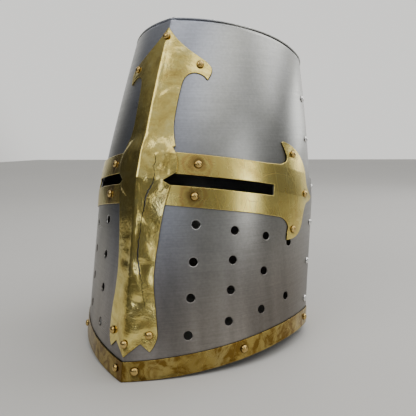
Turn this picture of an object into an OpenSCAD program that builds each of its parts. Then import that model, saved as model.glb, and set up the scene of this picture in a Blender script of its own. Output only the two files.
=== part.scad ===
// Great helm with a brass cross, shown as it stands on a table: on the front
// point of its rim and on the back edge, leaning back a little.
//
// Every module is drawn in the helm's own frame: the front ridge of the lower
// half is the line x = 0, y = 0, z = 0 is the tip of the rim below the ridge,
// +y runs to the back of the head and +x to the wearer's left. resting() then
// leans the whole helm back and puts the origin under the middle of its box.

/* [Shell] */
// Half width at the widest section of the lower half
half_width = 112; // [100:1:120]
// Distance from the front ridge back to the widest section
front_depth = 146; // [135:1:155]
// Distance from the widest section to the back of the head
rear_depth = 105; // [95:1:112]
// Angle of each front face to the left-right axis, at the ridge
ridge_angle = 26; // [22:1:30]
// Height of the crown edge above the tip of the rim, at the ridge
crown_height = 315; // [300:1:330]
// Half width of the crown
crown_half_width = 90; // [82:1:96]
// How far the ridge leans back between the eye slots and the crown
crown_setback = 34.5; // [28:0.5:40]
// Thickness of the steel plates
steel_t = 1.5; // [1.2:0.1:1.6]
// Thickness of the brass pieces
brass_t = 1; // [0.8:0.1:1.2]

/* [Rim] */
// Lean of the resting helm, which is also the slope of the rim's two feet
lean = 12.4; // [11:0.1:14]
// Height of the rim's arch above the table at the sides
rim_arch = 11; // [6:0.5:13]
// Height of the brass band round the rim
band_height = 16; // [14:0.5:18]

/* [Openings] */
// Lower edge of the eye slots above the tip of the rim
slot_bottom = 161; // [159:0.5:163]
// Height of the eye slots
slot_height = 10; // [8:0.5:12]
// Distance of the outer end of an eye slot from the middle plane
slot_outer_x = 93; // [85:1:96]
// Diameter of a breath hole
breath_d = 7; // [5:0.5:8]

/* [Cross] */
// Height of the brass strip above and below each eye slot
arm_strip = 17.5; // [15:0.5:18]
// Half width of the upper shaft of the cross at its waist
shaft_half_width = 19.5; // [18:0.5:21]

/* [Rivets] */
// Diameter of a rivet's domed head
rivet_head_d = 6.4; // [5:0.2:7]
// Height of a rivet's domed head
rivet_head_h = 2.4; // [1.6:0.1:2.6]
// Diameter of a rivet's shank
rivet_shank_d = 3.2; // [2.8:0.1:3.4]

/* [Lining and chin strap] */
// Thickness of the lining leather
liner_t = 2.2; // [1.8:0.1:2.6]
// Height of the leather brow band
brow_band_height = 30; // [24:1:34]
// Width of the chin strap
strap_w = 16; // [14:1:18]
// Thickness of the chin strap
strap_t = 2.4; // [2:0.1:2.6]
// Length of the strap that carries the buckle, from its rivet to the buckle bar
short_strap_l = 44; // [38:1:48]
// Length of the strap with the holes, from its rivet to its tip
long_strap_l = 92; // [80:1:96]

/* [Hidden] */
$fn = 48;

// Clearance between pieces that lie on each other
gap = 0.1;
// Radial clearance of a shank or a bar in its hole
fit = 0.06;
// Room between a flat tail or washer and the hollow side of a curved plate
slack = 0.35;
// Facets along each front quarter and each rear quarter of the outline
front_steps = 24;
rear_steps = 20;
// Height where the vertical lower walls begin to lean in, and their bulge above it
kink_z = 165;
bulge = 0.33;
// Rise of the crown towards the back
crown_slope = 0.017;
// Where the front plates end behind the widest section, and the back plates begin before it
front_end = 1 + 1 / rear_steps;
back_start = 1 - 1 / front_steps;

// Surfaces of the layers, counted outwards from the outside of the lower front plate
layer = steel_t + gap;
slot_top = slot_bottom + slot_height;
lap_top = slot_top + arm_strip - 0.8;
upper_lap = slot_top + 0.4;
rim_flat_y = front_depth + 0.75 * rear_depth;
// Width of the flanges under the crown, and rows of facets up the upper plates
flange_w = 11;
upper_row_count = 7;
// Radius and height of a rivet's hammered tail
tail_r = 2.6;
tail_h = 0.9;

// Outlines: [ridge y, ridge angle, handle, half width, y of the widest section, handle, rear depth]
lower_outline = [0, ridge_angle, 43, half_width, front_depth, 84, rear_depth];
upper_outline = [crown_setback, 14.4, 66, crown_half_width, front_depth + 9, 46, rear_depth - 11];

// ---- the wall surface -------------------------------------------------------
// v runs round the helm: 0 at the ridge, 1 at the wearer's left side, 2 at the
// back, 3 at the right side; negative v runs round the right side instead.

function lerp(a, b, t) = a + (b - a) * t;
function side_of(v) = (v < 0 || v > 2) ? -1 : 1;
function quarter(v) = v < 0 ? -v : v > 2 ? 4 - v : v;

function outline_front(o, u) =
    let(p0 = [0, o[0]], p1 = p0 + o[2] * [cos(o[1]), sin(o[1])],
        p3 = [o[3], o[4]], p2 = p3 - [0, o[5]], w = 1 - u)
    w * w * w * p0 + 3 * w * w * u * p1 + 3 * w * u * u * p2 + u * u * u * p3;
function outline_front_tangent(o, u) =
    let(p0 = [0, o[0]], p1 = p0 + o[2] * [cos(o[1]), sin(o[1])],
        p3 = [o[3], o[4]], p2 = p3 - [0, o[5]], w = 1 - u)
    3 * w * w * (p1 - p0) + 6 * w * u * (p2 - p1) + 3 * u * u * (p3 - p2);
function outline_at(o, u) = u <= 1 ? outline_front(o, u)
    : [o[3] * cos(90 * (u - 1)), o[4] + o[6] * sin(90 * (u - 1))];
function outline_tangent(o, u) = u <= 1 ? outline_front_tangent(o, u)
    : [-o[3] * sin(90 * (u - 1)), o[6] * cos(90 * (u - 1))];

// Share of the upper outline at height z
function taper(z) = let(s = max(0, (z - kink_z) / (crown_height - kink_z))) s - bulge * s * (1 - s);
function wall_tangent(u, z) =
    let(t = lerp(outline_tangent(lower_outline, u), outline_tangent(upper_outline, u), taper(z))) t / norm(t);
function wall_normal(u, z) = let(t = wall_tangent(u, z)) [t[1], -t[0]];
function wall_base(u, z) = lerp(outline_at(lower_outline, u), outline_at(upper_outline, u), taper(z));

// Point of the wall at v and z, off outside the outer surface of the lower front plate
function wall(v, z, off = 0) =
    let(u = quarter(v), b = wall_base(u, z), n = wall_normal(u, z), t = wall_tangent(u, z),
        p = u == 0 ? b - [0, off / t[0]] : b + off * n)
    [side_of(v) * p[0], p[1], z];
// Outward normal of the wall in space
function wall_normal_3d(v, z) =
    let(u = quarter(v), n = u == 0 ? [0, -1] : wall_normal(u, z),
        rise = (wall_base(u, z + 1) - wall_base(u, z - 1)) / 2,
        m = [side_of(v) * n[0], n[1], -(rise * n)])
    m / norm(m);

// Height of the rim: in the table plane at the back, arched at the sides
function rim_z(v, off = 0) = let(y = wall(v, 0, off)[1])
    tan(lean) * y + (y > 0 && y < rim_flat_y ? rim_arch * pow(sin(180 * y / rim_flat_y), 1.5) : 0);
// Height of the crown edge
function crown_z(v, off = 0) = crown_height + crown_slope * wall(v, crown_height, off)[1];

// Column positions from one v to another on the shared grid
function grid_v(i) = i <= front_steps ? i / front_steps : 1 + (i - front_steps) / rear_steps;
function columns_front(last) = let(n = front_steps + (last - 1) * rear_steps)
    concat([for (i = [n:-1:1]) -grid_v(i)], [for (i = [0:n]) grid_v(i)]);
function columns_quarters(first, last) = let(
        a = first <= 1 ? first * front_steps : front_steps + (first - 1) * rear_steps,
        b = last <= 1 ? last * front_steps : front_steps + (last - 1) * rear_steps)
    [for (i = [a:1:b + 0.01]) grid_v(i)];
function columns_back(first) = let(half = columns_quarters(first, 2), n = len(half))
    concat(half, [for (i = [n - 2:-1:0]) 4 - half[i]]);

// ---- solids -----------------------------------------------------------------
// Closed plate between two grids of points, outside[column][row] and inside[column][row]
module plate(outside, inside, closed = false) {
    cols = len(outside);
    rows = len(outside[0]);
    last = closed ? cols - 1 : cols - 2;
    function o(c, r) = (c % cols) * rows + r;
    function i(c, r) = cols * rows + (c % cols) * rows + r;
    function quad(a, b, c, d) = [[a, b, c], [a, c, d]];
    faces = concat(
        [for (c = [0:last]) for (r = [0:rows - 2]) for (f = quad(o(c, r), o(c, r + 1), o(c + 1, r + 1), o(c + 1, r))) f],
        [for (c = [0:last]) for (r = [0:rows - 2]) for (f = quad(i(c, r), i(c + 1, r), i(c + 1, r + 1), i(c, r + 1))) f],
        [for (c = [0:last]) for (f = quad(o(c, 0), o(c + 1, 0), i(c + 1, 0), i(c, 0))) f],
        [for (c = [0:last]) for (f = quad(o(c, rows - 1), i(c, rows - 1), i(c + 1, rows - 1), o(c + 1, rows - 1))) f],
        closed ? [] : [for (r = [0:rows - 2]) for (f = quad(o(0, r), i(0, r), i(0, r + 1), o(0, r + 1))) f],
        closed ? [] : [for (r = [0:rows - 2])
            for (f = quad(o(cols - 1, r), o(cols - 1, r + 1), i(cols - 1, r + 1), i(cols - 1, r))) f]);
    polyhedron(concat([for (c = outside) for (p = c) p], [for (c = inside) for (p = c) p]), faces);
}

// Draw on the wearer's left side (1) or mirrored on the right side (-1)
module on_side(side) {
    if (side > 0) children();
    else mirror([1, 0, 0]) children();
}

// Stand on the wall at v and z with +z pointing outwards, every off on one axis
module on_wall(v, z, off = 0) {
    n = wall_normal_3d(v, z);
    translate(wall(v, z)) rotate([0, acos(n[2]), atan2(n[1], n[0])])
        translate([0, 0, (wall(v, z, off) - wall(v, z)) * n]) children();
}

// Domed rivet through a stack of the given thickness; its head sits on z = 0
module rivet(stack) {
    r = rivet_head_d / 2;
    s = rivet_shank_d / 2;
    tail_z = -stack - slack;
    dome = [for (a = [0:18:90]) [r * cos(a), gap + rivet_head_h * sin(a)]];
    rotate_extrude() polygon(concat([[0, tail_z - tail_h], [tail_r - 0.4, tail_z - tail_h], [tail_r, tail_z],
        [s, tail_z], [s, gap]], dome));
}
module rivet_bore() { translate([0, 0, -10]) cylinder(r = rivet_shank_d / 2 + fit, h = 16); }
module rivets(places, off, stack) { for (p = places) on_wall(p[0], p[1], off) rivet(stack); }
module rivet_bores(places) { for (p = places) on_wall(p[0], p[1]) rivet_bore(); }
function mirrored(places) = concat(places, [for (p = places) if (p[0] != 0 && p[0] != 2) [-p[0], p[1]]]);

module resting() {
    front = -(brass_t + gap) / cos(ridge_angle) * cos(lean);
    back_y = wall(2, crown_height)[1] - layer;
    back = back_y * cos(lean) + (crown_height + crown_slope * back_y + steel_t) * sin(lean);
    translate([0, -(front + back) / 2, 0]) rotate([-lean, 0, 0]) children();
}

// ---- places of the rivets and holes, as [v, z] ------------------------------
bar_places = [[0, 297], [0.205, 271], [0, 30], [0.133, 38]];
arm_inner_places = [[0.3, 180.7], [0.3, 153]];
arm_fluke_places = [[0.808, 203.5], [0.907, 168], [0.817, 133]];
arm_places = concat(arm_inner_places, arm_fluke_places);
rim_places = [for (v = [0.07, 0.575, 0.985, 1.5]) [v, rim_z(v) + band_height / 2]];
rim_back_place = [[2, rim_z(2) + band_height / 2]];
seam_upper_places = [[0.975, 268.7], [0.985, 226.3]];
seam_lower_places = [[0.985, 104], [0.985, 67]];
strap_place = [[1, 142]];
waist_places = [[1.12, 180], [1.55, 180]];
waist_back_place = [[2, 180]];
brow_z = 226.3;
brow_back_place = [[2, brow_z]];
breath_rows = [[0.317, [130, 99, 69.5, 39]], [0.497, [127.5, 102.6, 77.3, 51.2]], [0.656, [125, 94.5, 61]],
    [0.8, [121, 72]]];
breath_places = [for (c = breath_rows) for (z = c[1]) [c[0], z]];

// ---- steel ------------------------------------------------------------------
module steel_shell(cols, outer, z_of, rows) {
    inner = outer - steel_t;
    plate([for (v = cols) [for (r = [0:rows]) wall(v, z_of(v, r, outer), outer)]],
        [for (v = cols) [for (r = [0:rows]) wall(v, z_of(v, r, inner), inner)]]);
}
function lower_rows(v, r, off, top) = [rim_z(v, off), kink_z, lerp(kink_z, top, 0.5), top][r];

module lower_front_plate() {
    color("lightslategray") difference() {
        steel_shell(columns_front(front_end), 0, function(v, r, off) lower_rows(v, r, off, lap_top), 3);
        for (side = [-1, 1]) on_side(side) {
            translate([17, -10, slot_bottom]) cube([slot_outer_x - 17, 100, 60]);
        }
        for (p = mirrored(breath_places)) on_wall(p[0], p[1]) translate([0, 0, -6]) cylinder(d = breath_d, h = 12);
        rivet_bores(mirrored(concat([bar_places[2], bar_places[3]], [arm_places[1], arm_places[3], arm_places[4]],
            [rim_places[0], rim_places[1], rim_places[2]], seam_lower_places, strap_place)));
    }
}

module lower_back_plate() {
    // The corners that would meet the upper front plate are cut away
    color("slategray") difference() {
        steel_shell(columns_back(back_start), -layer,
            function(v, r, off) lower_rows(v, r, off, quarter(v) <= front_end + 0.01 ? slot_top - 0.6 : lap_top), 3);
        rivet_bores(mirrored(concat([rim_places[2], rim_places[3]], rim_back_place, seam_lower_places, strap_place,
            waist_places, waist_back_place)));
    }
}

// Upper plates end in a flange that turns in under the crown plate
module upper_shell(cols, outer) {
    inner = outer - steel_t;
    function z_of(v, r, off) = lerp(upper_lap, crown_z(v, off), r / upper_row_count);
    function under_crown(v, off, drop) = let(p = wall(v, crown_z(v, off) - drop, off))
        [p[0], p[1], crown_height + crown_slope * p[1] - drop];
    plate([for (v = cols) concat([for (r = [0:upper_row_count - 1]) wall(v, z_of(v, r, outer), outer)],
            [under_crown(v, outer, 0), under_crown(v, outer - flange_w, 0)])],
        [for (v = cols) concat([for (r = [0:upper_row_count - 1]) wall(v, z_of(v, r, inner), inner)],
            [under_crown(v, inner, steel_t), under_crown(v, outer - flange_w, steel_t)])]);
}

// Crown rivets stand upright in the flanges
crown_rivet_v = [0, 0.22, 0.45, 0.7, 1.12, 1.4, 1.7, 2];
module at_crown_rivets() {
    for (v = crown_rivet_v) for (side = (v == 0 || v == 2) ? [1] : [-1, 1]) {
        p = wall(v, crown_height, -layer - (v > 1 ? layer : 0) - 6.2);
        translate([side * p[0], p[1], crown_height + crown_slope * p[1]])
            rotate([atan(crown_slope), 0, 0]) children();
    }
}
module crown_bores() { at_crown_rivets() rivet_bore(); }

module upper_front_plate() {
    color("silver") difference() {
        upper_shell(columns_front(front_end), -layer);
        rivet_bores(mirrored(concat([bar_places[0], bar_places[1]], [arm_places[0], arm_places[2]],
            seam_upper_places)));
        crown_bores();
    }
}

module upper_back_plate() {
    color("darkgray") difference() {
        upper_shell(columns_back(back_start), -2 * layer);
        flange_relief();
        rivet_bores(mirrored(concat(seam_upper_places, waist_places, waist_back_place, brow_back_place)));
        crown_bores();
    }
}
// Where the plates overlap, the back plate stops under the flange of the front plate
module flange_relief() {
    end_y = wall(front_end, crown_height)[1] + 1;
    translate([0, 0, crown_height]) rotate([atan(crown_slope), 0, 0])
        translate([-150, -50, -layer]) cube([300, end_y + 50, 10]);
}

module crown_plate() {
    edge = [for (v = columns_front(2)) let(p = wall(v, crown_height, -layer)) [p[0], p[1]]];
    color("gainsboro") difference() {
        translate([0, 0, crown_height + gap]) rotate([atan(crown_slope), 0, 0])
            linear_extrude(steel_t) polygon([for (k = [0:len(edge) - 2]) edge[k]]);
        crown_bores();
    }
}

// ---- brass ------------------------------------------------------------------
// Right half of the bar's outline, from the top point down to the bottom point
function arc(cx, cy, r, a0, a1, n) = [for (k = [0:n]) let(a = lerp(a0, a1, k / n)) [cx + r * cos(a), cy + r * sin(a)]];
bar_top_z = crown_height - 9;
boss_r = 28.5;
boss_z = 176;
bar_half = concat(
    [[0, bar_top_z], [13, 291], [22, 283.5], [31, 277.5], [37, 273], [40.5, 268.5], [40.5, 263], [39, 257]],
    [[35.5, 261], [31, 262.3], [27, 262], [23, 259.5], [20.8, 253]],
    [[shaft_half_width + 0.5, 240], [shaft_half_width, 222], [shaft_half_width + 0.4, 212],
        [shaft_half_width + 2.2, 202], [24.5, 194], [22.5, 193.2]],
    arc(0, boss_z, boss_r, 36, -8, 8),
    [[27, slot_top - 0.2], [19.5, slot_bottom + 3.2], [25, slot_bottom - 0.5], [22, 144], [20, 128], [18.5, 110],
        [17.6, 96], [17.6, 84], [18.6, 72], [20.4, 60], [22.3, 46], [23, 37], [21.2, 29.5], [18.7, 24.8],
        [11.5, 31], [0, 19.5]]);
bar_outline = concat(bar_half, [for (k = [len(bar_half) - 2:-1:1]) [-bar_half[k][0], bar_half[k][1]]]);

// Surface under the bar: on the steel at its ends, over the arms at eye level
bar_seat = [[15, gap], [132, gap], [142, brass_t + 2 * gap], [186, brass_t + 2 * gap], [200, gap - layer],
    [310, gap - layer]];
module cross_bar() {
    zs = [15, 75, 132, 142, kink_z, 186, 200, 222, 244, 266, 288, 310];
    cols = [for (i = [-9:9]) sign(i) * grid_v(abs(i))];
    color("goldenrod") difference() {
        intersection() {
            plate([for (v = cols) [for (z = zs) wall(v, z, lookup(z, bar_seat) + brass_t)]],
                [for (v = cols) [for (z = zs) wall(v, z, lookup(z, bar_seat))]]);
            translate([0, 80, 0]) rotate([90, 0, 0]) linear_extrude(120) polygon(bar_outline);
        }
        rivet_bores(mirrored(bar_places));
    }
}

// Flat pattern of the T-shaped end of an arm, as [distance along the wall from v = 0.83, z]
fluke_pattern = [[-42, 142.8], [-22, 143], [-15.6, 140.6], [-10.6, 135.5], [-11.4, 128.5], [-11.4, 122.6],
    [-3, 124.2], [4, 127], [9.6, 131.6], [13.2, 138], [15, 145], [17.6, 153.5], [22, 159.6], [31, 163],
    [36.4, 167], [30, 171], [24, 176.5], [21.6, 184], [20.6, 191], [17.2, 197.6], [10.8, 204], [1.6, 209.3],
    [-9.3, 212.4], [-19.3, 213.4], [-22.6, 212.2], [-17.4, 205], [-14.6, 198.8], [-16.6, 194.6], [-23, 191.2],
    [-42, 189.6]];
module cross_arm(side) {
    inner_x = 18.5;
    zs = [118, 131, 144, slot_bottom, kink_z, slot_top, 180, lap_top, 201, 215];
    cols = columns_quarters(2 / front_steps, 1);
    centre = wall(0.83, kink_z);
    t = wall_tangent(0.83, kink_z);
    // The arm rests on the lower plate, and on the upper plate above the slot
    function seat(v, z) = z < slot_top ? gap
        : v < 0.65 ? gap - layer
        : z <= lap_top + 1 ? gap : lerp(gap, gap - layer, (z - lap_top) / 24);
    color("gold") on_side(side) difference() {
        intersection() {
            plate([for (v = cols) [for (z = zs) wall(v, z, seat(v, z) + brass_t)]],
                [for (v = cols) [for (z = zs) wall(v, z, seat(v, z))]]);
            union() {
                translate([inner_x, -20, slot_bottom - arm_strip + 0.7]) cube([75, 120, arm_strip - 0.7]);
                translate([inner_x, -20, slot_top]) cube([75, 120, arm_strip + 0.9]);
                intersection() {
                    translate([centre[0], centre[1], 0]) rotate([90, 0, atan2(t[1], t[0])])
                        translate([0, 0, -30]) linear_extrude(70) polygon(fluke_pattern);
                    translate([slot_outer_x, 0, 100]) cube([60, 200, 130]);
                }
            }
        }
        rivet_bores(arm_places);
    }
}
module cross_arm_left() { cross_arm(1); }
module cross_arm_right() { cross_arm(-1); }

// Each half of the rim band runs from the ridge to the back
module rim_band(side) {
    function seat(v) = v <= front_end + 0.01 ? gap : gap - layer;
    function band_column(v, off) = [for (z = [0, band_height]) wall(v, rim_z(v, off) + z, off)];
    cols = columns_quarters(0, 2);
    color("gold") on_side(side) difference() {
        intersection() {
            plate([for (v = cols) band_column(v, seat(v) + brass_t)], [for (v = cols) band_column(v, seat(v))]);
            translate([gap / 2, -10, -10]) cube([200, 300, 100]);
        }
        rivet_bores(rim_places);
        rivet_bores(rim_back_place);
    }
}
module rim_band_left() { rim_band(1); }
module rim_band_right() { rim_band(-1); }

// ---- rivets -----------------------------------------------------------------
module bar_rivets() {
    color("darkgoldenrod") {
        through = brass_t + steel_t + gap;
        // The tails of the rivets on the ridge stay clear of its inner fold
        in_fold = through * 1.12 + tail_r * tan(ridge_angle);
        rivets([bar_places[0]], gap - layer + brass_t, in_fold);
        rivets(mirrored([bar_places[1]]), gap - layer + brass_t, through);
        rivets([bar_places[2]], gap + brass_t, in_fold);
        rivets(mirrored([bar_places[3]]), gap + brass_t, through);
    }
}
module arm_rivets(side) {
    through = brass_t + steel_t + gap;
    color("darkgoldenrod") on_side(side) {
        rivets([arm_places[0]], gap - layer + brass_t, through);
        rivets([arm_places[1], arm_places[3], arm_places[4]], gap + brass_t, through);
        rivets([arm_places[2]], gap + brass_t - layer * 0.65, through + layer);
    }
}
module arm_rivets_left() { arm_rivets(1); }
module arm_rivets_right() { arm_rivets(-1); }
module rim_rivets() {
    through = brass_t + steel_t + gap;
    color("darkgoldenrod") {
        rivets(mirrored([rim_places[0], rim_places[1]]), gap + brass_t, through);
        rivets(mirrored([rim_places[2]]), gap + brass_t, through + layer);
        rivets(mirrored([rim_places[3]]), gap - layer + brass_t, through);
        rivets(rim_back_place, gap - layer + brass_t, through);
    }
}

// Distance of the lining and of the chin strap inside the outer surface
brow_inset = 6.6;
strap_inset = 10.4;
washer_t = 1.2;
module seam_rivets(side) {
    two = 2 * steel_t + gap;
    color("whitesmoke") on_side(side) {
        rivets([seam_upper_places[0]], -layer, two);
        rivets([seam_upper_places[1]], -layer, brow_inset + liner_t + washer_t + slack + gap - layer);
        rivets(seam_lower_places, 0, two);
        rivets(strap_place, 0, strap_inset + strap_t / 2 + washer_t + 2 * gap);
    }
}
module seam_rivets_left() { seam_rivets(1); }
module seam_rivets_right() { seam_rivets(-1); }
module brow_rivets() {
    color("whitesmoke") rivets(brow_back_place, -2 * layer, brow_inset + liner_t + washer_t + slack + gap - 2 * layer);
}
module waist_rivets() {
    color("whitesmoke") rivets(concat(mirrored(waist_places), waist_back_place), -layer, 2 * steel_t + gap);
}
module crown_rivets() {
    color("whitesmoke") at_crown_rivets() translate([0, 0, steel_t + gap]) rivet(2 * steel_t + gap);
}

// ---- lining -----------------------------------------------------------------
module brow_band() {
    cols = columns_front(2);
    low = brow_z - brow_band_height / 2;
    zs = [low, low + brow_band_height];
    color("saddlebrown") difference() {
        plate([for (k = [0:len(cols) - 2]) [for (z = zs) wall(cols[k], z, -brow_inset)]],
            [for (k = [0:len(cols) - 2]) [for (z = zs) wall(cols[k], z, -brow_inset - liner_t)]], closed = true);
        rivet_bores(mirrored([seam_upper_places[1], brow_back_place[0]]));
    }
}

// Eight leather tongues rise from inside the brow band and bend in to the crown pad
pad_centre = [0, 142];
pad_r = 30;
pad_z = 289;
tongue_v = [0.28, 0.76, 1.26, 1.74];
tongue_half_v = 0.07;
function tongue_point(v, edge, k, steps) =
    let(z_low = brow_z - brow_band_height / 2 + 3, z_high = brow_z + brow_band_height / 2 + 1,
        inset = -brow_inset - liner_t - gap,
        start = wall(v + edge * tongue_half_v, z_high, inset), below = wall(v + edge * tongue_half_v, z_low, inset),
        middle = wall(v, z_high, inset), d = [middle[0], middle[1]] - pad_centre, a = atan2(d[1], d[0]) + edge * 9,
        side = v > 2 || v < 0 ? -1 : 1, end_r = pad_r - 8,
        last = [pad_centre[0] + end_r * cos(a), pad_centre[1] + end_r * sin(a), pad_z],
        rise = (start - below) / norm(start - below), out = [cos(a), sin(a), 0], t = k / steps, w = 1 - t)
    k < 0 ? below
    : w * w * w * start + 3 * w * w * t * (start + 24 * rise) + 3 * w * t * t * (last + 26 * out) + t * t * t * last;
function tongue_inward(v, k, steps) =
    let(m = wall(v, brow_z), d = [m[0], m[1]] - pad_centre, h = d / norm(d), a = 90 * max(0, k) / steps)
    [-h[0] * cos(a), -h[1] * cos(a), -sin(a)];
module liner_tongues() {
    steps = 7;
    color("sienna") for (side = [-1, 1]) for (v = tongue_v) on_side(side) {
        plate([for (edge = [-1, 0, 1]) [for (k = [-1:steps]) tongue_point(v, edge, k, steps)]],
            [for (edge = [-1, 0, 1]) [for (k = [-1:steps])
                tongue_point(v, edge, k, steps) + liner_t * tongue_inward(v, k, steps)]]);
    }
}
module liner_crown_pad() {
    color("saddlebrown") translate([pad_centre[0], pad_centre[1], pad_z + gap]) cylinder(r = pad_r, h = liner_t);
}

// Washer round a shank, from one depth to another inside the outer surface
module washer(depth, thickness, r) {
    translate([0, 0, -depth - thickness]) difference() {
        cylinder(r = r, h = thickness);
        translate([0, 0, -1]) cylinder(r = rivet_shank_d / 2 + fit, h = thickness + 2);
    }
}
// A spacer and a tail washer hold the brow band at each of its three rivets
module liner_washers() {
    places = concat(mirrored([seam_upper_places[1]]), brow_back_place);
    spacer_from = 2 * layer + steel_t + gap;
    color("gray") for (p = places) on_wall(p[0], p[1]) {
        washer(spacer_from + slack, brow_inset - spacer_from - slack - 3 * gap, 4.5);
        washer(brow_inset + liner_t + slack, washer_t, 4);
    }
}
module strap_washers() {
    spacer_from = layer + steel_t + gap;
    color("gray") for (side = [-1, 1]) on_wall(side * strap_place[0][0], strap_place[0][1]) {
        washer(spacer_from + slack, strap_inset - strap_t / 2 - 2 * gap - spacer_from - slack, 5);
        washer(strap_inset + strap_t / 2 + gap, washer_t, 4.5);
    }
}

// ---- chin strap -------------------------------------------------------------
// The straps hang plumb from their rivets; x points to the wall, z up
bar_r = 1.5;
bar_x = strap_t / 2;
frame_l = 20;
frame_half_w = strap_w / 2 + 2.5;
prong_w = 3.6;
module hang(side) {
    p = strap_place[0];
    on_side(side) translate(wall(p[0], p[1], -strap_inset)) rotate([lean, 0, 0]) children();
}
// Flat strap with a round upper end; tip_w is the width left at its lower end
module strap_blank(length, tip_w) {
    shoulder = (strap_w - tip_w) / 2;
    rotate([90, 0, 90]) translate([0, 0, -strap_t / 2]) linear_extrude(strap_t)
        polygon(concat(arc(0, 0, strap_w / 2, 0, 180, 24), [[-strap_w / 2, 1.4 * shoulder - length],
            [-tip_w / 2, -length], [tip_w / 2, -length], [strap_w / 2, 1.4 * shoulder - length]]));
}
module pivot_bore() { rotate([0, 90, 0]) translate([0, 0, -10]) cylinder(r = rivet_shank_d / 2 + fit, h = 20); }
module buckle_strap() {
    fold_top = -22;
    loop_r = bar_r + fit + strap_t;
    color("saddlebrown") hang(1) difference() {
        union() {
            strap_blank(short_strap_l, strap_w);
            translate([-strap_t / 2, -strap_w / 2, -short_strap_l]) cube([2 * strap_t, strap_w, short_strap_l + fold_top]);
            translate([bar_x, strap_w / 2, -short_strap_l]) rotate([90, 0, 0]) cylinder(r = loop_r, h = strap_w);
        }
        pivot_bore();
        translate([bar_x, 20, -short_strap_l]) rotate([90, 0, 0]) cylinder(r = bar_r + fit, h = 40);
        translate([-6, -prong_w / 2 - 0.7, -short_strap_l - 5]) cube([14, prong_w + 1.4, 8.4]);
    }
}
module tip_strap() {
    punch_pitch = 10;
    color("saddlebrown") hang(-1) difference() {
        strap_blank(long_strap_l, 6);
        pivot_bore();
        for (k = [0:4]) translate([-5, 0, -long_strap_l + 18 + k * punch_pitch]) rotate([0, 90, 0])
            cylinder(d = 3, h = 10);
    }
}
module strap_keeper() {
    keeper_t = 1.2;
    slack = 0.15;
    room = strap_t + 0.2;
    low_x = -strap_t / 2 - room;
    high_x = 1.5 * strap_t + slack;
    half = strap_w / 2 + slack;
    color("sienna") hang(1) translate([0, 0, -34]) difference() {
        translate([low_x - keeper_t, -half - keeper_t, 0])
            cube([high_x - low_x + 2 * keeper_t, 2 * (half + keeper_t), 7]);
        translate([low_x, -half, -1]) cube([high_x - low_x, 2 * half, 9]);
    }
}
module rod(a, b, r) {
    d = b - a;
    translate(a) rotate([0, acos(d[2] / norm(d)), atan2(d[1], d[0])]) cylinder(r = r, h = norm(d));
}
module buckle_frame() {
    corners = [[bar_x, -frame_half_w, -short_strap_l], [bar_x, frame_half_w, -short_strap_l],
        [bar_x, frame_half_w, -short_strap_l - frame_l], [bar_x, -frame_half_w, -short_strap_l - frame_l]];
    color("gold") hang(1) for (k = [0:3]) {
        rod(corners[k], corners[(k + 1) % 4], bar_r);
        translate(corners[k]) sphere(r = bar_r);
    }
}
module buckle_prong() {
    prong_r = 1;
    ring_r = bar_r + fit + 1.3;
    tilt = asin((bar_r + prong_r + gap) / frame_l);
    color("gold") hang(1) translate([bar_x, 0, -short_strap_l]) difference() {
        union() {
            translate([0, prong_w / 2, 0]) rotate([90, 0, 0]) cylinder(r = ring_r, h = prong_w);
            rotate([0, 180 + tilt, 0]) translate([0, 0, bar_r + 0.6]) cylinder(r = prong_r, h = frame_l + 0.6);
        }
        translate([0, 10, 0]) rotate([90, 0, 0]) cylinder(r = bar_r + fit, h = 20);
    }
}

resting() lower_front_plate();
resting() upper_front_plate();
resting() lower_back_plate();
resting() upper_back_plate();
resting() crown_plate();
resting() cross_bar();
resting() cross_arm_left();
resting() cross_arm_right();
resting() rim_band_left();
resting() rim_band_right();
resting() bar_rivets();
resting() arm_rivets_left();
resting() arm_rivets_right();
resting() rim_rivets();
resting() seam_rivets_left();
resting() seam_rivets_right();
resting() waist_rivets();
resting() crown_rivets();
resting() brow_band();
resting() brow_rivets();
resting() liner_tongues();
resting() liner_crown_pad();
resting() liner_washers();
resting() strap_washers();
resting() buckle_strap();
resting() tip_strap();
resting() strap_keeper();
resting() buckle_frame();
resting() buckle_prong();
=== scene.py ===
"""A great helm with a brass cross, standing on the front tip of its rim and on its back edge.

Sheets are cut in a flat pattern, meshed with rounded edges and real holes, and wrapped on the wall
of the helm. The wall is drawn in the helm's own frame in millimetres, as the CAD draws it: the front
ridge is the line x = 0, y = 0, z = 0 is the tip of the rim, +y runs to the back of the head.
"""
import math

import bpy
import numpy as np
from mathutils import Matrix, Vector
from mathutils.geometry import delaunay_2d_cdt


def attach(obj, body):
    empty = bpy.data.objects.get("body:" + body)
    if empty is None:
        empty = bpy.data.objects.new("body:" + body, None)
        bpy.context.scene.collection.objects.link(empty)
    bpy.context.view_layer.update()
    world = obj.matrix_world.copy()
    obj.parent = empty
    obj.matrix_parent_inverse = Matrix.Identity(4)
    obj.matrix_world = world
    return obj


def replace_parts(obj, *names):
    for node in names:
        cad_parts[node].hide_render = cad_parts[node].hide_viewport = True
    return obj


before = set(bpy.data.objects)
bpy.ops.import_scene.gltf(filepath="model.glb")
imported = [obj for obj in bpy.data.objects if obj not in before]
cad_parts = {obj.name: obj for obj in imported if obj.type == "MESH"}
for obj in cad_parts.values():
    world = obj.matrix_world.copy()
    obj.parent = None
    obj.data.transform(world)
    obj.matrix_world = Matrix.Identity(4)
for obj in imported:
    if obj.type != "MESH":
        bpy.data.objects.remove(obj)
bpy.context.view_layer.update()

MM = 0.001

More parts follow.
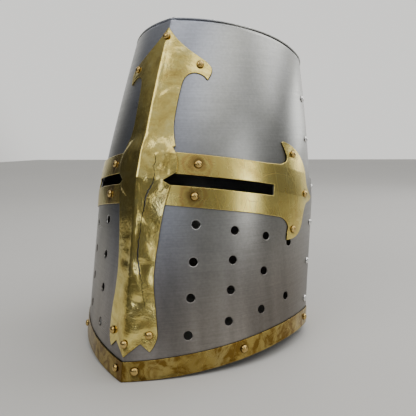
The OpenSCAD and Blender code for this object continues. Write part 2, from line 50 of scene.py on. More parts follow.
# ---- sizes of the helm, in millimetres and degrees ---------------------------
CROWN_HEIGHT = 315.0
CROWN_SLOPE = 0.017
CROWN_UP = (0.0, -CROWN_SLOPE, 1.0)
CROWN_SETBACK = 34.5
KINK_Z = 165.0
BULGE = 0.33
LEAN = math.radians(12.4)
RIDGE_ANGLE = 26.0
RIM_ARCH = 11.0
BAND_HEIGHT = 16.0
STEEL_T = 1.5
BRASS_T = 1.0
GAP = 0.1
LAYER = STEEL_T + GAP
SLOT_BOTTOM = 161.0
SLOT_TOP = 171.0
SLOT_INNER_X = 17.0
SLOT_OUTER_X = 93.0
BREATH_R = 3.5
ARM_STRIP = 17.5
LAP_TOP = SLOT_TOP + ARM_STRIP - 0.8
UPPER_LAP = SLOT_TOP + 0.4
FLANGE_W = 11.0
CROWN_BEND = 2.2
RIVET_R = 3.2
RIVET_H = 2.4
LINER_T = 2.2
BROW_Z = 226.3
BROW_HALF = 15.0
BROW_INSET = 6.6
LINER_STACK = BROW_INSET + LINER_T + 1.5
FRONT_END = 1.05
BACK_START = 1 - 1 / 24
FRONT_DEPTH = 146.0
REAR_DEPTH = 105.0
RIM_FLAT_Y = FRONT_DEPTH + 0.75 * REAR_DEPTH
# How round the ridge is on the plates, on the front plate, on the rim band and on the leather
PLATE_RIDGE_R = 0.6
FRONT_RIDGE_R = 0.7
BAND_RIDGE_R = 0.25
LINING_RIDGE_R = 5.0
# How far from the ridge, as u, offsets are mitred and the ridge is rounded
MITRE_END = 0.14
ROUND_END = 0.3
# [ridge y, ridge angle, handle, half width, y of the widest section, handle, rear depth]
LOWER = (0.0, RIDGE_ANGLE, 43.0, 112.0, FRONT_DEPTH, 84.0, REAR_DEPTH)
UPPER = (CROWN_SETBACK, 14.4, 66.0, 90.0, FRONT_DEPTH + 9, 46.0, REAR_DEPTH - 11)

# ---- places of the rivets and holes, as (v, z) --------------------------------
BAR_PLACES = [(0, 297), (0.205, 271), (-0.205, 271), (0, 30), (0.133, 38), (-0.133, 38)]
ARM_PLACES = [(0.3, 180.7), (0.3, 153), (0.808, 203.5), (0.907, 168), (0.817, 133)]
RIM_PLACES = [0.07, 0.575, 0.985, 1.5]
SEAM_UPPER = [(0.975, 268.7), (0.985, 226.3)]
STRAP_RIVET_Z = 142.0
SEAM_LOWER = [(0.985, 104), (0.985, 67), (1, STRAP_RIVET_Z)]
WAIST = [(1.12, 180), (1.55, 180)]
CROWN_RIVET_V = [0, 0.22, 0.45, 0.7, 1.12, 1.4, 1.7, 2]
BREATH = [(0.317, (130, 99, 69.5, 39)), (0.497, (127.5, 102.6, 77.3, 51.2)), (0.656, (125, 94.5, 61)),
          (0.8, (121, 72))]


# ---- the wall -----------------------------------------------------------------
def outline(shape, u):
    """Point and tangent of a half outline: u is 0 at the ridge, 1 at the side and 2 at the back."""
    ridge_y, angle, handle, half, wide_y, side_handle, rear = shape
    x1 = handle * math.cos(math.radians(angle))
    y1 = ridge_y + handle * math.sin(math.radians(angle))
    y2 = wide_y - side_handle
    f = np.minimum(u, 1.0)
    w = 1 - f
    x = 3 * w * w * f * x1 + (3 * w * f * f + f ** 3) * half
    y = w ** 3 * ridge_y + 3 * w * w * f * y1 + 3 * w * f * f * y2 + f ** 3 * wide_y
    tx = 3 * w * w * x1 + 6 * w * f * (half - x1)
    ty = 3 * w * w * (y1 - ridge_y) + 6 * w * f * (y2 - y1) + 3 * f * f * (wide_y - y2)
    a = np.clip(u - 1, 0, 1) * math.pi / 2
    back = u > 1
    x = np.where(back, half * np.cos(a), x)
    y = np.where(back, wide_y + rear * np.sin(a), y)
    tx = np.where(back, -half * np.sin(a), tx)
    ty = np.where(back, rear * np.cos(a), ty)
    return x, y, tx, ty


def wall(v, z, off=0.0, ridge_r=PLATE_RIDGE_R):
    """Points of the wall, off outside the outer surface of the lower front plate.
    v runs round the helm: 0 ridge, 1 left side, 2 back, 3 or -1 right side. ridge_r rounds the ridge."""
    v, z, off = np.broadcast_arrays(np.asarray(v, float), np.asarray(z, float), np.asarray(off, float))
    side = np.where((v < 0) | (v > 2), -1.0, 1.0)
    u = np.where(v < 0, -v, np.where(v > 2, 4 - v, v))
    s = np.maximum(0.0, (z - KINK_Z) / (CROWN_HEIGHT - KINK_Z))
    share = s - BULGE * s * (1 - s)
    x, y, tx, ty = [a + (b - a) * share for a, b in zip(outline(LOWER, u), outline(UPPER, u))]
    length = np.hypot(tx, ty)
    tx, ty = tx / length, ty / length
    slope = ty / np.maximum(tx, 0.3)
    mitre = off * slope * np.maximum(0.0, 1 - u / MITRE_END) ** 2
    px = x + off * ty - mitre * tx
    py = y - off * tx - mitre * ty
    rounding = np.clip(1 - u / ROUND_END, 0, 1) * slope
    py = py + rounding * (np.sqrt(px * px + ridge_r ** 2) - np.abs(px))
    return np.stack([side * px, py, z], -1)


def unit(vectors):
    """The vectors, or the one vector, at length 1."""
    return vectors / np.maximum(np.linalg.norm(vectors, axis=-1, keepdims=True), 1e-9)


def wall_normal(v, z):
    """Outward unit normal of the wall, straight ahead on the ridge."""
    if v == 0:
        rise = (wall(0, z + 1, ridge_r=0) - wall(0, z - 1, ridge_r=0)) / 2
        return unit(np.array([0.0, -1.0, rise[1]]))
    across = wall(v + 1e-3, z) - wall(v - 1e-3, z)
    return unit(np.cross(across, wall(v, z + 0.5) - wall(v, z - 0.5)))


def rim_z(v, off=0.0):
    """Height of the rim: in the table plane at the back, arched at the sides."""
    y = wall(v, 0.0, off, 0)[..., 1]
    arch = RIM_ARCH * np.sin(np.pi * np.clip(y / RIM_FLAT_Y, 0, 1)) ** 1.5
    return math.tan(LEAN) * y + arch


def crown_z(v, off=0.0):
    """Height of the crown plane over a point of the wall."""
    return CROWN_HEIGHT + CROWN_SLOPE * wall(v, CROWN_HEIGHT, off, 0)[..., 1]


# Distance round the lower outline, as the flat pattern's x
U_TABLE = np.linspace(0, 2, 801)
X_TABLE, Y_TABLE = outline(LOWER, U_TABLE)[:2]
S_TABLE = np.concatenate([[0], np.cumsum(np.hypot(np.diff(X_TABLE), np.diff(Y_TABLE)))])
S_BACK = float(S_TABLE[-1])


def v_of(s):
    """Position v at a distance round the outline, either way from the ridge."""
    s = np.asarray(s, float)
    a = np.where(s < 0, -s, np.where(s > S_BACK, 2 * S_BACK - s, s))
    u = np.interp(a, S_TABLE, U_TABLE)
    return np.where(s < 0, -u, np.where(s > S_BACK, 4 - u, u))


def s_of(v):
    """Distance round the outline at v, which is from -2 to 2."""
    return math.copysign(float(np.interp(abs(v), U_TABLE, S_TABLE)), v)


def s_at_x(x):
    """Distance round the front where the lower outline is x from the middle plane."""
    front = U_TABLE <= 1
    return math.copysign(float(np.interp(abs(x), X_TABLE[front], S_TABLE[front])), x)


# The helm leans back to rest on the table
FRONT_TOUCH = -(BRASS_T + GAP) / math.cos(math.radians(RIDGE_ANGLE)) * math.cos(LEAN)
BACK_Y = float(wall(2, CROWN_HEIGHT)[1]) - LAYER
BACK_TOUCH = BACK_Y * math.cos(LEAN) + (CROWN_HEIGHT + CROWN_SLOPE * BACK_Y + STEEL_T) * math.sin(LEAN)
SHIFT_Y = -(FRONT_TOUCH + BACK_TOUCH) / 2
COS, SIN = math.cos(LEAN), math.sin(LEAN)


def rest_direction(n):
    """Direction in the helm frame to the row frame."""
    n = np.asarray(n, float)
    return np.stack([n[..., 0], n[..., 1] * COS + n[..., 2] * SIN, n[..., 2] * COS - n[..., 1] * SIN], -1)


def rest(points):
    """Point in the helm frame in millimetres to the row frame in metres."""
    return (rest_direction(points) + (0, SHIFT_Y, 0)) * MM


def stood(points, normals):
    """Places a mesh of the helm frame in the row frame; the last value says if it is mirrored."""
    return rest(points), rest_direction(normals), False


# ---- meshes -------------------------------------------------------------------
def add_mesh(name, verts, faces, normals=None, body="helm"):
    """A smooth object from points in the row frame, riding on a CAD body."""
    mesh = bpy.data.meshes.new(name)
    mesh.from_pydata([tuple(v) for v in verts], [], faces)
    mesh.validate()
    mesh.polygons.foreach_set("use_smooth", [True] * len(mesh.polygons))
    if normals is not None:
        mesh.normals_split_custom_set_from_vertices([tuple(n) for n in normals])
    mesh.update()
    obj = bpy.data.objects.new(name, mesh)
    bpy.context.scene.collection.objects.link(obj)
    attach(obj, body)
    return obj


def resample(loop, most):
    """The loop with each side cut into equal parts no longer than most."""
    out = []
    for a, b in zip(loop, np.roll(loop, -1, axis=0)):
        n = max(1, math.ceil(np.hypot(*(b - a)) / most))
        out.extend(a + (b - a) * k / n for k in range(n))
    return np.array(out)


def outward(loop):
    """Unit directions out of a counter-clockwise loop, longer at the corners."""
    ahead = unit(np.roll(loop, -1, axis=0) - loop)
    after = np.stack([ahead[:, 1], -ahead[:, 0]], 1)
    n = unit(np.roll(after, 1, axis=0) + after)
    return n / np.maximum((n * after).sum(1), 0.6)[:, None]


def area(loop):
    """Area of a loop, above 0 if it runs counter-clockwise."""
    x, y = loop[:, 0], loop[:, 1]
    return 0.5 * float(np.sum(x * np.roll(y, -1) - np.roll(x, -1) * y))


def inside(points, loops):
    """Whether each point is inside the outer loop and outside the holes."""
    odd = np.zeros(len(points), bool)
    x, y = points[:, 0][:, None], points[:, 1][:, None]
    for loop in loops:
        a, b = loop, np.roll(loop, -1, axis=0)
        cross = (a[:, 1] > y) != (b[:, 1] > y)
        dy = np.where(b[:, 1] == a[:, 1], 1e-9, b[:, 1] - a[:, 1])
        hit = x < (b[:, 0] - a[:, 0]) * (y - a[:, 1]) / dy + a[:, 0]
        odd ^= (np.count_nonzero(cross & hit, axis=1) % 2).astype(bool)
    return odd


def distance_to(points, samples):
    """Distance from each point to the nearest sample."""
    out = np.empty(len(points))
    for k in range(0, len(points), 2000):
        d = points[k:k + 2000, None, :] - samples[None]
        out[k:k + 2000] = np.sqrt((d * d).sum(2).min(1))
    return out


# Grid of a sheet: distance between rows, clearance from its edges and folds, both in spacings, and
# millimetres between the points of a fold and of a hole
ROW_STEP = 0.87
GRID_CLEAR = 0.45
FOLD_STEP = 1.4
HOLE_STEP = 0.9
# Edges of a sheet: the middle of a rounded edge, as a share of its width, and the most that it may take
# of the thickness
ROUND_MIDDLE = 0.293
ROUND_MOST = 0.45
NORMAL_STEP = 0.15


def pattern_grid(edges, spacing, columns):
    """Points inside a flat pattern: a triangular grid, and rows of points on the folds."""
    rim = np.concatenate(edges)
    low, high = rim.min(0), rim.max(0)
    grid = []
    for k, y in enumerate(np.arange(low[1] + spacing * 0.5, high[1], spacing * ROW_STEP)):
        xs = np.arange(low[0] + spacing * (0.25 if k % 2 else 0.75), high[0], spacing)
        grid.append(np.stack([xs, np.full_like(xs, y)], 1))
    grid = np.concatenate(grid)
    keep = inside(grid, edges)
    for c in columns:
        keep &= np.abs(grid[:, 0] - c) > spacing * GRID_CLEAR
    grid = grid[keep]
    grid = grid[distance_to(grid, rim) > spacing * GRID_CLEAR]
    for c in columns:
        ys = np.arange(low[1] + FOLD_STEP / 2, high[1], FOLD_STEP)
        line = np.stack([np.full_like(ys, c), ys], 1)
        line = line[inside(line, edges)]
        grid = np.concatenate([grid, line[distance_to(line, rim) > 0.5]])
    return grid


def triangulate(loops, grid):
    """Points and triangles between the loops, all facing up, and the number of each loop's points."""
    sides, start = [], 0
    for h in loops:
        sides += [(start + k, start + (k + 1) % len(h)) for k in range(len(h))]
        start += len(h)
    points = [Vector(p) for p in np.concatenate(loops + [grid])]
    flat, _, tris, origin, _, _ = delaunay_2d_cdt(points, sides, [], 0, 1e-5)
    flat = np.array([tuple(p) for p in flat])
    tris = np.array([t for t in tris if len(t) == 3])
    tris = tris[inside(flat[tris].mean(1), loops)]
    a, b, c = flat[tris[:, 0]], flat[tris[:, 1]], flat[tris[:, 2]]
    turn = (b[:, 0] - a[:, 0]) * (c[:, 1] - a[:, 1]) - (b[:, 1] - a[:, 1]) * (c[:, 0] - a[:, 0])
    tris[turn < 0] = tris[turn < 0][:, ::-1]
    used = np.unique(tris)
    new = -np.ones(len(flat), int)
    new[used] = np.arange(len(used))
    number = {source: int(new[k]) for k, sources in enumerate(origin) for source in sources}
    return flat[used], new[tris], number


def sheet_piece(name, loop, holes, skin, outer, thickness, spacing=3.0, bevel=0.35, hole_bevel=0.7,
                edge_step=1.6, columns=(), place=stood, body="helm"):
    """A closed sheet cut from a flat pattern. skin(x, y, off) gives its surfaces in the helm frame, and
    outer(x, y) the offset of its outer surface. Rows of points at the x of each column keep a fold crisp."""
    loops = [resample(np.array(loop, float), edge_step)]
    loops += [resample(np.array(h, float), min(edge_step, HOLE_STEP)) for h in holes]
    loops = [h if (area(h) > 0) == (k == 0) else h[::-1] for k, h in enumerate(loops)]
    widths = [bevel] + [hole_bevel] * len(holes)
    ways = [outward(h) for h in loops]
    inset = [h - way * width for h, way, width in zip(loops, ways, widths)]
    flat, tris, number = triangulate(inset, pattern_grid(inset, spacing, columns))

    def surface(p, depth):
        return skin(p[:, 0], p[:, 1], outer(p[:, 0], p[:, 1]) - depth)

    def normal(p, depth):
        ex, ey = np.array([NORMAL_STEP, 0]), np.array([0, NORMAL_STEP])
        across = surface(p + ex, depth) - surface(p - ex, depth)
        return unit(np.cross(across, surface(p + ey, depth) - surface(p - ey, depth)))

    count = len(flat)
    verts = [surface(flat, 0), surface(flat, thickness)]
    normals = [normal(flat, 0), -normal(flat, thickness)]
    faces = tris.tolist() + (tris[:, ::-1] + count).tolist()
    total, start = 2 * count, 0
    for h, way, width in zip(loops, ways, widths):
        n = len(h)
        first = [number[start + k] for k in range(n)]
        start += n
        out = unit(way) * 0.2
        side = unit(surface(h + out, thickness / 2) - surface(h - out, thickness / 2))
        top, under = normal(h, 0), -normal(h, thickness)
        deep = min(width, thickness * ROUND_MOST)
        rings = [first]
        middle = deep * ROUND_MIDDLE
        for share, depth, facing, blend in (
                (ROUND_MIDDLE, middle, top, 0.5), (0.0, deep, top, 1.0),
                (0.0, thickness - deep, under, 1.0), (ROUND_MIDDLE, thickness - middle, under, 0.5)):
            verts.append(surface(h - way * width * share, depth))
            normals.append(unit(facing * (1 - blend) + side * blend))
            rings.append(list(range(total, total + n)))
            total += n
        rings.append([k + count for k in first])
        for r0, r1 in zip(rings, rings[1:]):
            faces += [(r0[k], r1[k], r1[(k + 1) % n], r0[(k + 1) % n]) for k in range(n)]
    points, normals, mirrored = place(np.concatenate(verts), np.concatenate(normals))
    return add_mesh(name, points, [f[::-1] for f in faces] if mirrored else faces, normals, body)


RIVET_SIDES = 24
SHANK_R = 1.6


def revolve(profile):
    """Points and faces of a closed pin whose profile of (radius, height) is turned round the z axis."""
    verts, faces, rings = [], [], []
    for r, h in profile:
        count = 1 if r < 1e-6 else RIVET_SIDES
        rings.append(list(range(len(verts), len(verts) + count)))
        for k in range(count):
            a = 2 * math.pi * k / RIVET_SIDES
            verts.append((r * math.cos(a), r * math.sin(a), h))
    for r0, r1 in zip(rings, rings[1:]):
        for k in range(RIVET_SIDES):
            n = (k + 1) % RIVET_SIDES
            if len(r0) == 1:
                faces.append((r0[0], r1[k], r1[n]))
            elif len(r1) == 1:
                faces.append((r0[k], r1[0], r0[n]))
            else:
                faces.append((r0[k], r1[k], r1[n], r0[n]))
    return np.array(verts), faces


def dome_profile(stack):
    """Head, shank and tail of a rivet through a stack of that thickness, from the top down."""
    head = [(RIVET_R * math.sin(a), GAP + RIVET_H * (0.12 + 0.88 * math.cos(a)))
            for a in np.linspace(0, math.pi / 2, 9)]
    neck = [(RIVET_R * 0.985, GAP), (RIVET_R * 0.9, GAP * 0.5), (SHANK_R, GAP * 0.5), (SHANK_R, -stack)]
    tail = [(2.4, 0.05), (2.6, 0.3), (2.2, 0.85), (1.0, 1.0), (0.0, 1.0)]
    return head + neck + [(r, -stack - down) for r, down in tail]


def rivet_row(name, places, node):
    """Rivets at (point, normal, stack) as one piece."""
    verts, faces, start = [], [], 0
    for k, (point, normal, stack) in enumerate(places):
        p, f = revolve(dome_profile(stack))
        # Each head is set by hand, so each is a little off round
        p[:, 0] *= 1 + 0.035 * math.cos(2.4 * k)
        p[:, 1] *= 1 + 0.035 * math.sin(2.4 * k)
        x = unit(np.cross((0.0, 0.0, 1.0), normal))
        verts.append(point + p[:, :1] * x + p[:, 1:2] * np.cross(normal, x) + p[:, 2:] * normal)
        faces += [tuple(start + i for i in face) for face in f]
        start += len(p)
    obj = add_mesh(name, rest(np.concatenate(verts)), faces)
    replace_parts(obj, node)
    return obj


def on_wall(v, z, off, stack):
    """Place of a rivet on a surface off outside the wall."""
    n = wall_normal(v, z)
    base = wall(v, z, 0, 0)
    depth = (wall(v, z, off, 0) - base) @ n
    return base + n * depth, n, stack


def both_sides(places):
    return list(places) + [(-v, z) for v, z in places if v not in (0, 2)]


def smooth(points, sharp=(), steps=6):
    """An open curve through the points (Catmull-Rom) that keeps a corner at each sharp one."""
    p = [np.array(q, float) for q in points]
    out = []
    for k in range(len(p) - 1):
        a, b = p[k], p[k + 1]
        before = p[k - 1] if k > 0 and k not in sharp else 2 * a - b
        after = p[k + 2] if k + 2 < len(p) and k + 1 not in sharp else 2 * b - a
        for i in range(steps):
            t = i / steps
            out.append(0.5 * (2 * a + (b - before) * t + (2 * before - 5 * a + 4 * b - after) * t * t
                              + (3 * a - before - 3 * b + after) * t ** 3))
    return np.array(out + [p[-1]])


def circle(x, y, r, n=28):
    a = np.linspace(0, 2 * math.pi, n, endpoint=False)
    return np.stack([x + r * np.cos(a), y + r * np.sin(a)], 1)


def dents(seed, count, box, radius, depth):
    """Shallow hammer marks scattered over a box of the flat pattern."""
    rng = np.random.default_rng(seed)
    x = rng.uniform(box[0], box[1], count)
    y = rng.uniform(box[2], box[3], count)
    r = rng.uniform(radius[0], radius[1], count)
    d = rng.uniform(depth[0], depth[1], count)

    def height(px, py):
        h = np.zeros_like(px)
        for cx, cy, cr, cd in zip(x, y, r, d):
            h = h - cd * np.exp(-((px - cx) ** 2 + (py - cy) ** 2) / (cr * cr))
        return h
    return height


def wrapped(ridge_r=PLATE_RIDGE_R):
    """Skin of a plate cut in distance round the outline and height."""
    def skin(s, z, off):
        return wall(v_of(s), z, off, ridge_r)
    return skin


# ---- steel --------------------------------------------------------------------
def along(v0, v1, most=2.0):
    """Distances round the outline from v0 to v1, v up to 4, about most apart."""
    s0 = s_of(v0)
    s1 = 2 * S_BACK - s_of(4 - v1) if v1 > 2 else s_of(v1)
    return np.linspace(s0, s1, max(2, int(abs(s1 - s0) / most)))


def steel_relief(seed, box):
    """Shallow dents of hammered and ground plate."""
    return dents(seed, 26, box, (16, 34), (0.02, 0.11))


RIDGE_COLUMNS = (-1.2, -0.4, 0.4, 1.2)


def front_lower():
    """The plate with the breath holes and the lower edges of the eye slots."""
    span = along(-FRONT_END, FRONT_END)
    end = s_of(FRONT_END)
    nose, temple = s_at_x(SLOT_INNER_X), s_at_x(SLOT_OUTER_X)
    top = [(end, LAP_TOP), (temple, LAP_TOP), (temple, SLOT_BOTTOM), (nose, SLOT_BOTTOM), (nose, LAP_TOP)]
    loop = [(s, float(rim_z(v_of(s)))) for s in span] + top + [(-s, z) for s, z in top[::-1]]
    holes = [circle(s_of(v * side), z, BREATH_R) for v, zs in BREATH for z in zs for side in (-1, 1)]
    relief = steel_relief(3, (-260, 260, 0, 180))
    obj = sheet_piece("lower_front", loop, holes, wrapped(FRONT_RIDGE_R), relief, STEEL_T, spacing=3.2,
                      bevel=0.45, hole_bevel=1.0, columns=RIDGE_COLUMNS)
    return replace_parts(obj, "lower_front_plate")


def back_lower():
    """The plate under the front one's sides, and round the back."""
    span = along(BACK_START, 4 - BACK_START)
    notch = s_of(FRONT_END + 0.01)
    far_notch = 2 * S_BACK - notch
    low = SLOT_TOP - 0.6
    loop = [(s, float(rim_z(v_of(s), -LAYER))) for s in span]
    loop += [(span[-1], low), (far_notch, low), (far_notch, LAP_TOP), (notch, LAP_TOP), (notch, low),
             (span[0], low)]
    relief = steel_relief(5, (180, 560, 40, 190))

    def outer(s, z):
        return relief(s, z) - LAYER
    obj = sheet_piece("lower_back", loop, [], wrapped(), outer, STEEL_T, spacing=3.6, bevel=0.4)
    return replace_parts(obj, "lower_back_plate")


def crown_skin(outer_off):
    """Skin of an upper plate: up the wall, round a tight bend and in under the crown plate."""
    def skin(s, z, off):
        v = v_of(s)
        top = crown_z(v, outer_off) - CROWN_BEND
        past = np.maximum(z - top, 0)
        angle = np.minimum(past / CROWN_BEND, math.pi / 2)
        run = np.maximum(past - CROWN_BEND * math.pi / 2, 0)
        r = CROWN_BEND + off - outer_off
        reach = outer_off - CROWN_BEND + r * np.cos(angle) - run
        rise = r * np.sin(angle)
        straight = z < top
        p = wall(v, np.where(straight, z, top), np.where(straight, off, reach))
        p[..., 2] += np.where(straight, 0, rise)
        tilt = CROWN_SLOPE * (p[..., 1] - wall(v, CROWN_HEIGHT, outer_off)[..., 1])
        p[..., 2] += np.where(straight, 0, tilt * np.sin(angle))
        return p
    return skin


def upper(name, node, v0, v1, off, seed, flange_from=None):
    """An upper plate; its flange under the crown starts at flange_from, or runs its whole length."""
    span = along(v0, v1)
    turn_in = CROWN_BEND * (math.pi / 2 - 1) + FLANGE_W - CROWN_BEND
    tops = []
    for s in span[::-1]:
        v = float(v_of(s))
        quarter = 4 - v if v > 2 else abs(v)
        full = flange_from is None or quarter > flange_from
        z = float(crown_z(v, off))
        tops.append((s, z + turn_in if full else z - LAYER - CROWN_BEND * 0.2))
    loop = [(span[0], UPPER_LAP), (span[-1], UPPER_LAP)] + tops
    relief = steel_relief(seed, (span[0], span[-1], 180, 310))

    def outer(s, z):
        calm_near_crown = np.clip((300 - z) / 30, 0, 1)
        return relief(s, z) * calm_near_crown + off
    obj = sheet_piece(name, loop, [], crown_skin(off), outer, STEEL_T, spacing=3.4, bevel=0.3,
                      columns=RIDGE_COLUMNS if v0 < 0 else ())
    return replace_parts(obj, node)


def crown():
    """The flat plate on top of the flanges."""
    edge = [wall(v_of(s), CROWN_HEIGHT, -LAYER)[:2] for s in along(-2, 2, 2.5)[:-1]]
    relief = dents(11, 30, (-80, 80, 40, 240), (14, 30), (0.05, 0.25))

    def skin(x, y, off):
        return np.stack([x, y, CROWN_HEIGHT + CROWN_SLOPE * y + GAP + STEEL_T + off], -1)
    obj = sheet_piece("crown", np.array(edge), [], skin, relief, STEEL_T, spacing=4.0, bevel=0.7)
    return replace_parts(obj, "crown_plate")


# ---- brass --------------------------------------------------------------------
BOSS_R = 28.5
BOSS_Z = 176.0
BAR_RIDGE_R = 1.3


def arc(cx, cy, r, a0, a1, n):
    a = np.radians(np.linspace(a0, a1, n + 1))
    return [(cx + r * math.cos(k), cy + r * math.sin(k)) for k in a]


def bar_half():
    """Right half of the bar seen from the front, from its top point to its bottom point."""
    head = smooth([(0, 306), (6.5, 297.6), (13, 291), (22, 283.5), (31, 277.5), (37, 273), (40.3, 268.5),
                   (40.6, 263), (39, 257)], sharp=(0, 8))
    under = smooth([(39, 257), (35.5, 260.6), (31, 262.3), (27, 262), (23.2, 259.3), (20.8, 253), (19.9, 240),
                    (19.5, 222), (19.9, 212), (21.7, 202), (24.5, 194), (22.5, 193.2)], sharp=(0, 10, 11))
    boss = arc(0, BOSS_Z, BOSS_R, 36, -8, 10)
    notch = [(27, 170.8), (19.5, 164.2), (25, 160.5)]
    shaft = smooth([(25, 160.5), (22, 144), (20, 128), (18.5, 110), (17.6, 96), (17.6, 84), (18.6, 72),
                    (20.4, 60), (22.3, 46), (23, 37), (21.2, 29.5), (18.7, 24.8)], sharp=(0, 11))
    tail = [(11.5, 31), (0, 19.5)]
    parts = [head, under[1:], boss, notch, shaft[1:], tail]
    return np.concatenate([np.array(p, float) for p in parts])


def bar_skin(x, z, off):
    """Skin of the bar, cut as seen from the front: x is kept, and the place round the wall is searched for."""
    target = np.abs(x)
    low, high = np.zeros_like(target), np.full_like(target, 0.5)
    for _ in range(26):
        mid = (low + high) / 2
        less = wall(mid, z, off, BAR_RIDGE_R)[..., 0] < target
        low, high = np.where(less, mid, low), np.where(less, high, mid)
    p = wall((low + high) / 2, z, off, BAR_RIDGE_R)
    p[..., 0] = x
    return p


# Line of the crack, as (x, z)
CRACK = [(10.5, 186), (12.5, 181), (11.6, 174), (13.2, 167), (11.4, 159), (8.3, 151), (7.2, 140), (5.5, 126),
         (4.9, 112), (5.2, 98), (7.2, 88), (9.6, 80), (10.8, 70), (13.4, 59)]


def crack_loop():
    """A long narrow crack down the left of the bar, tapering to nothing at both ends."""
    line = smooth(CRACK, steps=7)
    rng = np.random.default_rng(21)
    line[:, 0] += rng.normal(0, 0.3, len(line))
    way = unit(np.gradient(line, axis=0))
    share = np.linspace(0, 1, len(line))
    half = 0.1 + 0.55 * np.sin(np.pi * share) ** 0.7 * (0.6 + 0.4 * np.sin(19 * share + 1))
    aside = np.stack([-way[:, 1], way[:, 0]], 1) * half[:, None]
    return np.concatenate([line + aside, (line - aside)[::-1]])


def step(x, low, high):
    """0 below low, 1 above high, smooth in between."""
    t = np.clip((x - low) / (high - low), 0, 1)
    return t * t * (3 - 2 * t)


def crease(px, pz, a, b, width, depth):
    """A fold line from a to b, pressed in beside a low ridge."""
    a, b = np.array(a, float), np.array(b, float)
    d = b - a
    length = np.hypot(*d)
    t = ((px - a[0]) * d[0] + (pz - a[1]) * d[1]) / length ** 2
    off = ((px - a[0]) * d[1] - (pz - a[1]) * d[0]) / length
    ends = np.clip(t * 6, 0, 1) * np.clip((1 - t) * 6, 0, 1)
    groove = np.exp(-(off / width) ** 2)
    ridge = np.exp(-((off - 2 * width) / width) ** 2)
    return depth * ends * (0.8 * ridge - groove)


# Fold lines of the bar, as (from, to, width, depth)
CREASES = [((8, 187), (27, 193), 1.6, 0.16), ((3, 240), (17, 252), 2.2, 0.14),
           ((4, 208), (16, 196), 2.4, 0.16), ((6, 96), (15, 66), 3.0, 0.16)]


def rivet_dimples(px, py, places):
    """Shallow rings pressed in round the rivets."""
    h = np.zeros_like(px)
    for x, y in places:
        r = np.hypot(px - x, py - y)
        h = h - 0.22 * np.exp(-((r - 2.6) / 1.9) ** 2)
    return h


BAR_RIVETS_XZ = [(0, 297), (32.5, 271), (-32.5, 271), (0, 30), (15.5, 38), (-15.5, 38)]
BAR_COLUMNS = (-BAR_RIDGE_R, -0.6, 0.0, 0.6, BAR_RIDGE_R)
# The bar stands off the front plate where it covers the arms, and sinks to the upper plate above them
BAR_LIFT = 1.2 - GAP


def bar():
    """The upright of the cross, folded over the ridge, with its boss, folds, dents and crack."""
    half = bar_half()
    loop = np.concatenate([half, (half * (-1, 1))[-2:0:-1]])
    small = dents(31, 90, (-24, 24, 25, 200), (3.0, 6.5), (0.06, 0.3))
    broad = dents(32, 26, (-40, 40, 180, 300), (6, 12), (0.1, 0.35))
    swell = dents(33, 14, (-22, 22, 30, 150), (6, 11), (-0.5, 0.45))

    def outer(x, z):
        seat = GAP + BAR_LIFT * step(z, 104, 143) - (BAR_LIFT + LAYER) * step(z, 187, 207)
        away = np.clip(np.abs(x) / 3.5, 0, 1)
        h = (small(x, z) + broad(x, z) + swell(x, z)) * away
        from_boss = np.hypot(x, z - BOSS_Z) / BOSS_R
        h = h + 1.1 * np.sqrt(np.clip(1 - from_boss ** 2, 0, 1)) * step(np.abs(x), 7, 20)
        h = h - 0.25 * np.exp(-((from_boss - 0.7) / 0.07) ** 2) * step(np.abs(x), 8, 16)
        for a, b, width, depth in CREASES:
            h = h + crease(x, z, a, b, width, depth)
        return seat + BRASS_T + h + rivet_dimples(x, z, BAR_RIVETS_XZ)
    obj = sheet_piece("cross_bar_sheet", loop, [crack_loop()], bar_skin, outer, BRASS_T, spacing=1.45,
                      bevel=0.3, hole_bevel=0.1, edge_step=0.9, columns=BAR_COLUMNS)
    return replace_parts(obj, "cross_bar")


# Fluked end of an arm, as (distance along the helm's side from FLUKE_V, z)
FLUKE_V = 0.83
FLUKE = [(-22, 142.8), (-15.6, 140.6), (-10.6, 135.5), (-11.4, 128.5), (-11.4, 122.6), (-3, 124.2), (4, 127),
         (9.6, 131.6), (13.2, 138), (15, 145), (17.6, 153.5), (22, 159.6), (31, 163), (36.4, 167), (30, 171),
         (24, 176.5), (21.6, 184), (20.6, 191), (17.2, 197.6), (10.8, 204), (1.6, 209.3), (-9.3, 212.4),
         (-19.3, 213.4), (-22.6, 212.2), (-17.4, 205), (-14.6, 198.8), (-16.6, 194.6), (-24, 190.9)]


def arm_seat(s, z):
    """Offset of an arm's inner surface: on the front plate, and above it sinking to the upper plate."""
    v = v_of(s)
    high = np.where(z <= LAP_TOP + 1, GAP, GAP - LAYER * np.clip((z - LAP_TOP) / 24, 0, 1))
    outward_share = step(v, 0.36, 0.66)
    above = (GAP - LAYER) * (1 - outward_share) + high * outward_share
    return np.where(z < (SLOT_BOTTOM + SLOT_TOP) / 2, GAP, above)


def fluke_outline():
    """The fluke in the arm's flat pattern, by distance round the outline and height."""
    centre = wall(FLUKE_V, KINK_Z, 0, 0)[:2]
    ahead = unit(wall(FLUKE_V + 1e-4, KINK_Z, 0, 0)[:2] - wall(FLUKE_V - 1e-4, KINK_Z, 0, 0)[:2])
    table_u = np.linspace(0.4, 1.4, 400)
    reach = (wall(table_u, KINK_Z, 0, 0)[:, :2] - centre) @ ahead
    rise = np.argsort(reach)
    fluke = [(s_of(float(np.interp(d, reach[rise], table_u[rise]))), z) for d, z in FLUKE]
    return smooth(fluke, sharp=(0, 4, 13, 23, 27), steps=5)


def mirrored_skin(side):
    """Skin of a pattern cut for one side of the helm."""
    def skin(s, z, off):
        return wall(v_of(side * s), z, off) * (side, 1, 1)
    return skin


def side_name(side):
    return "left" if side > 0 else "right"


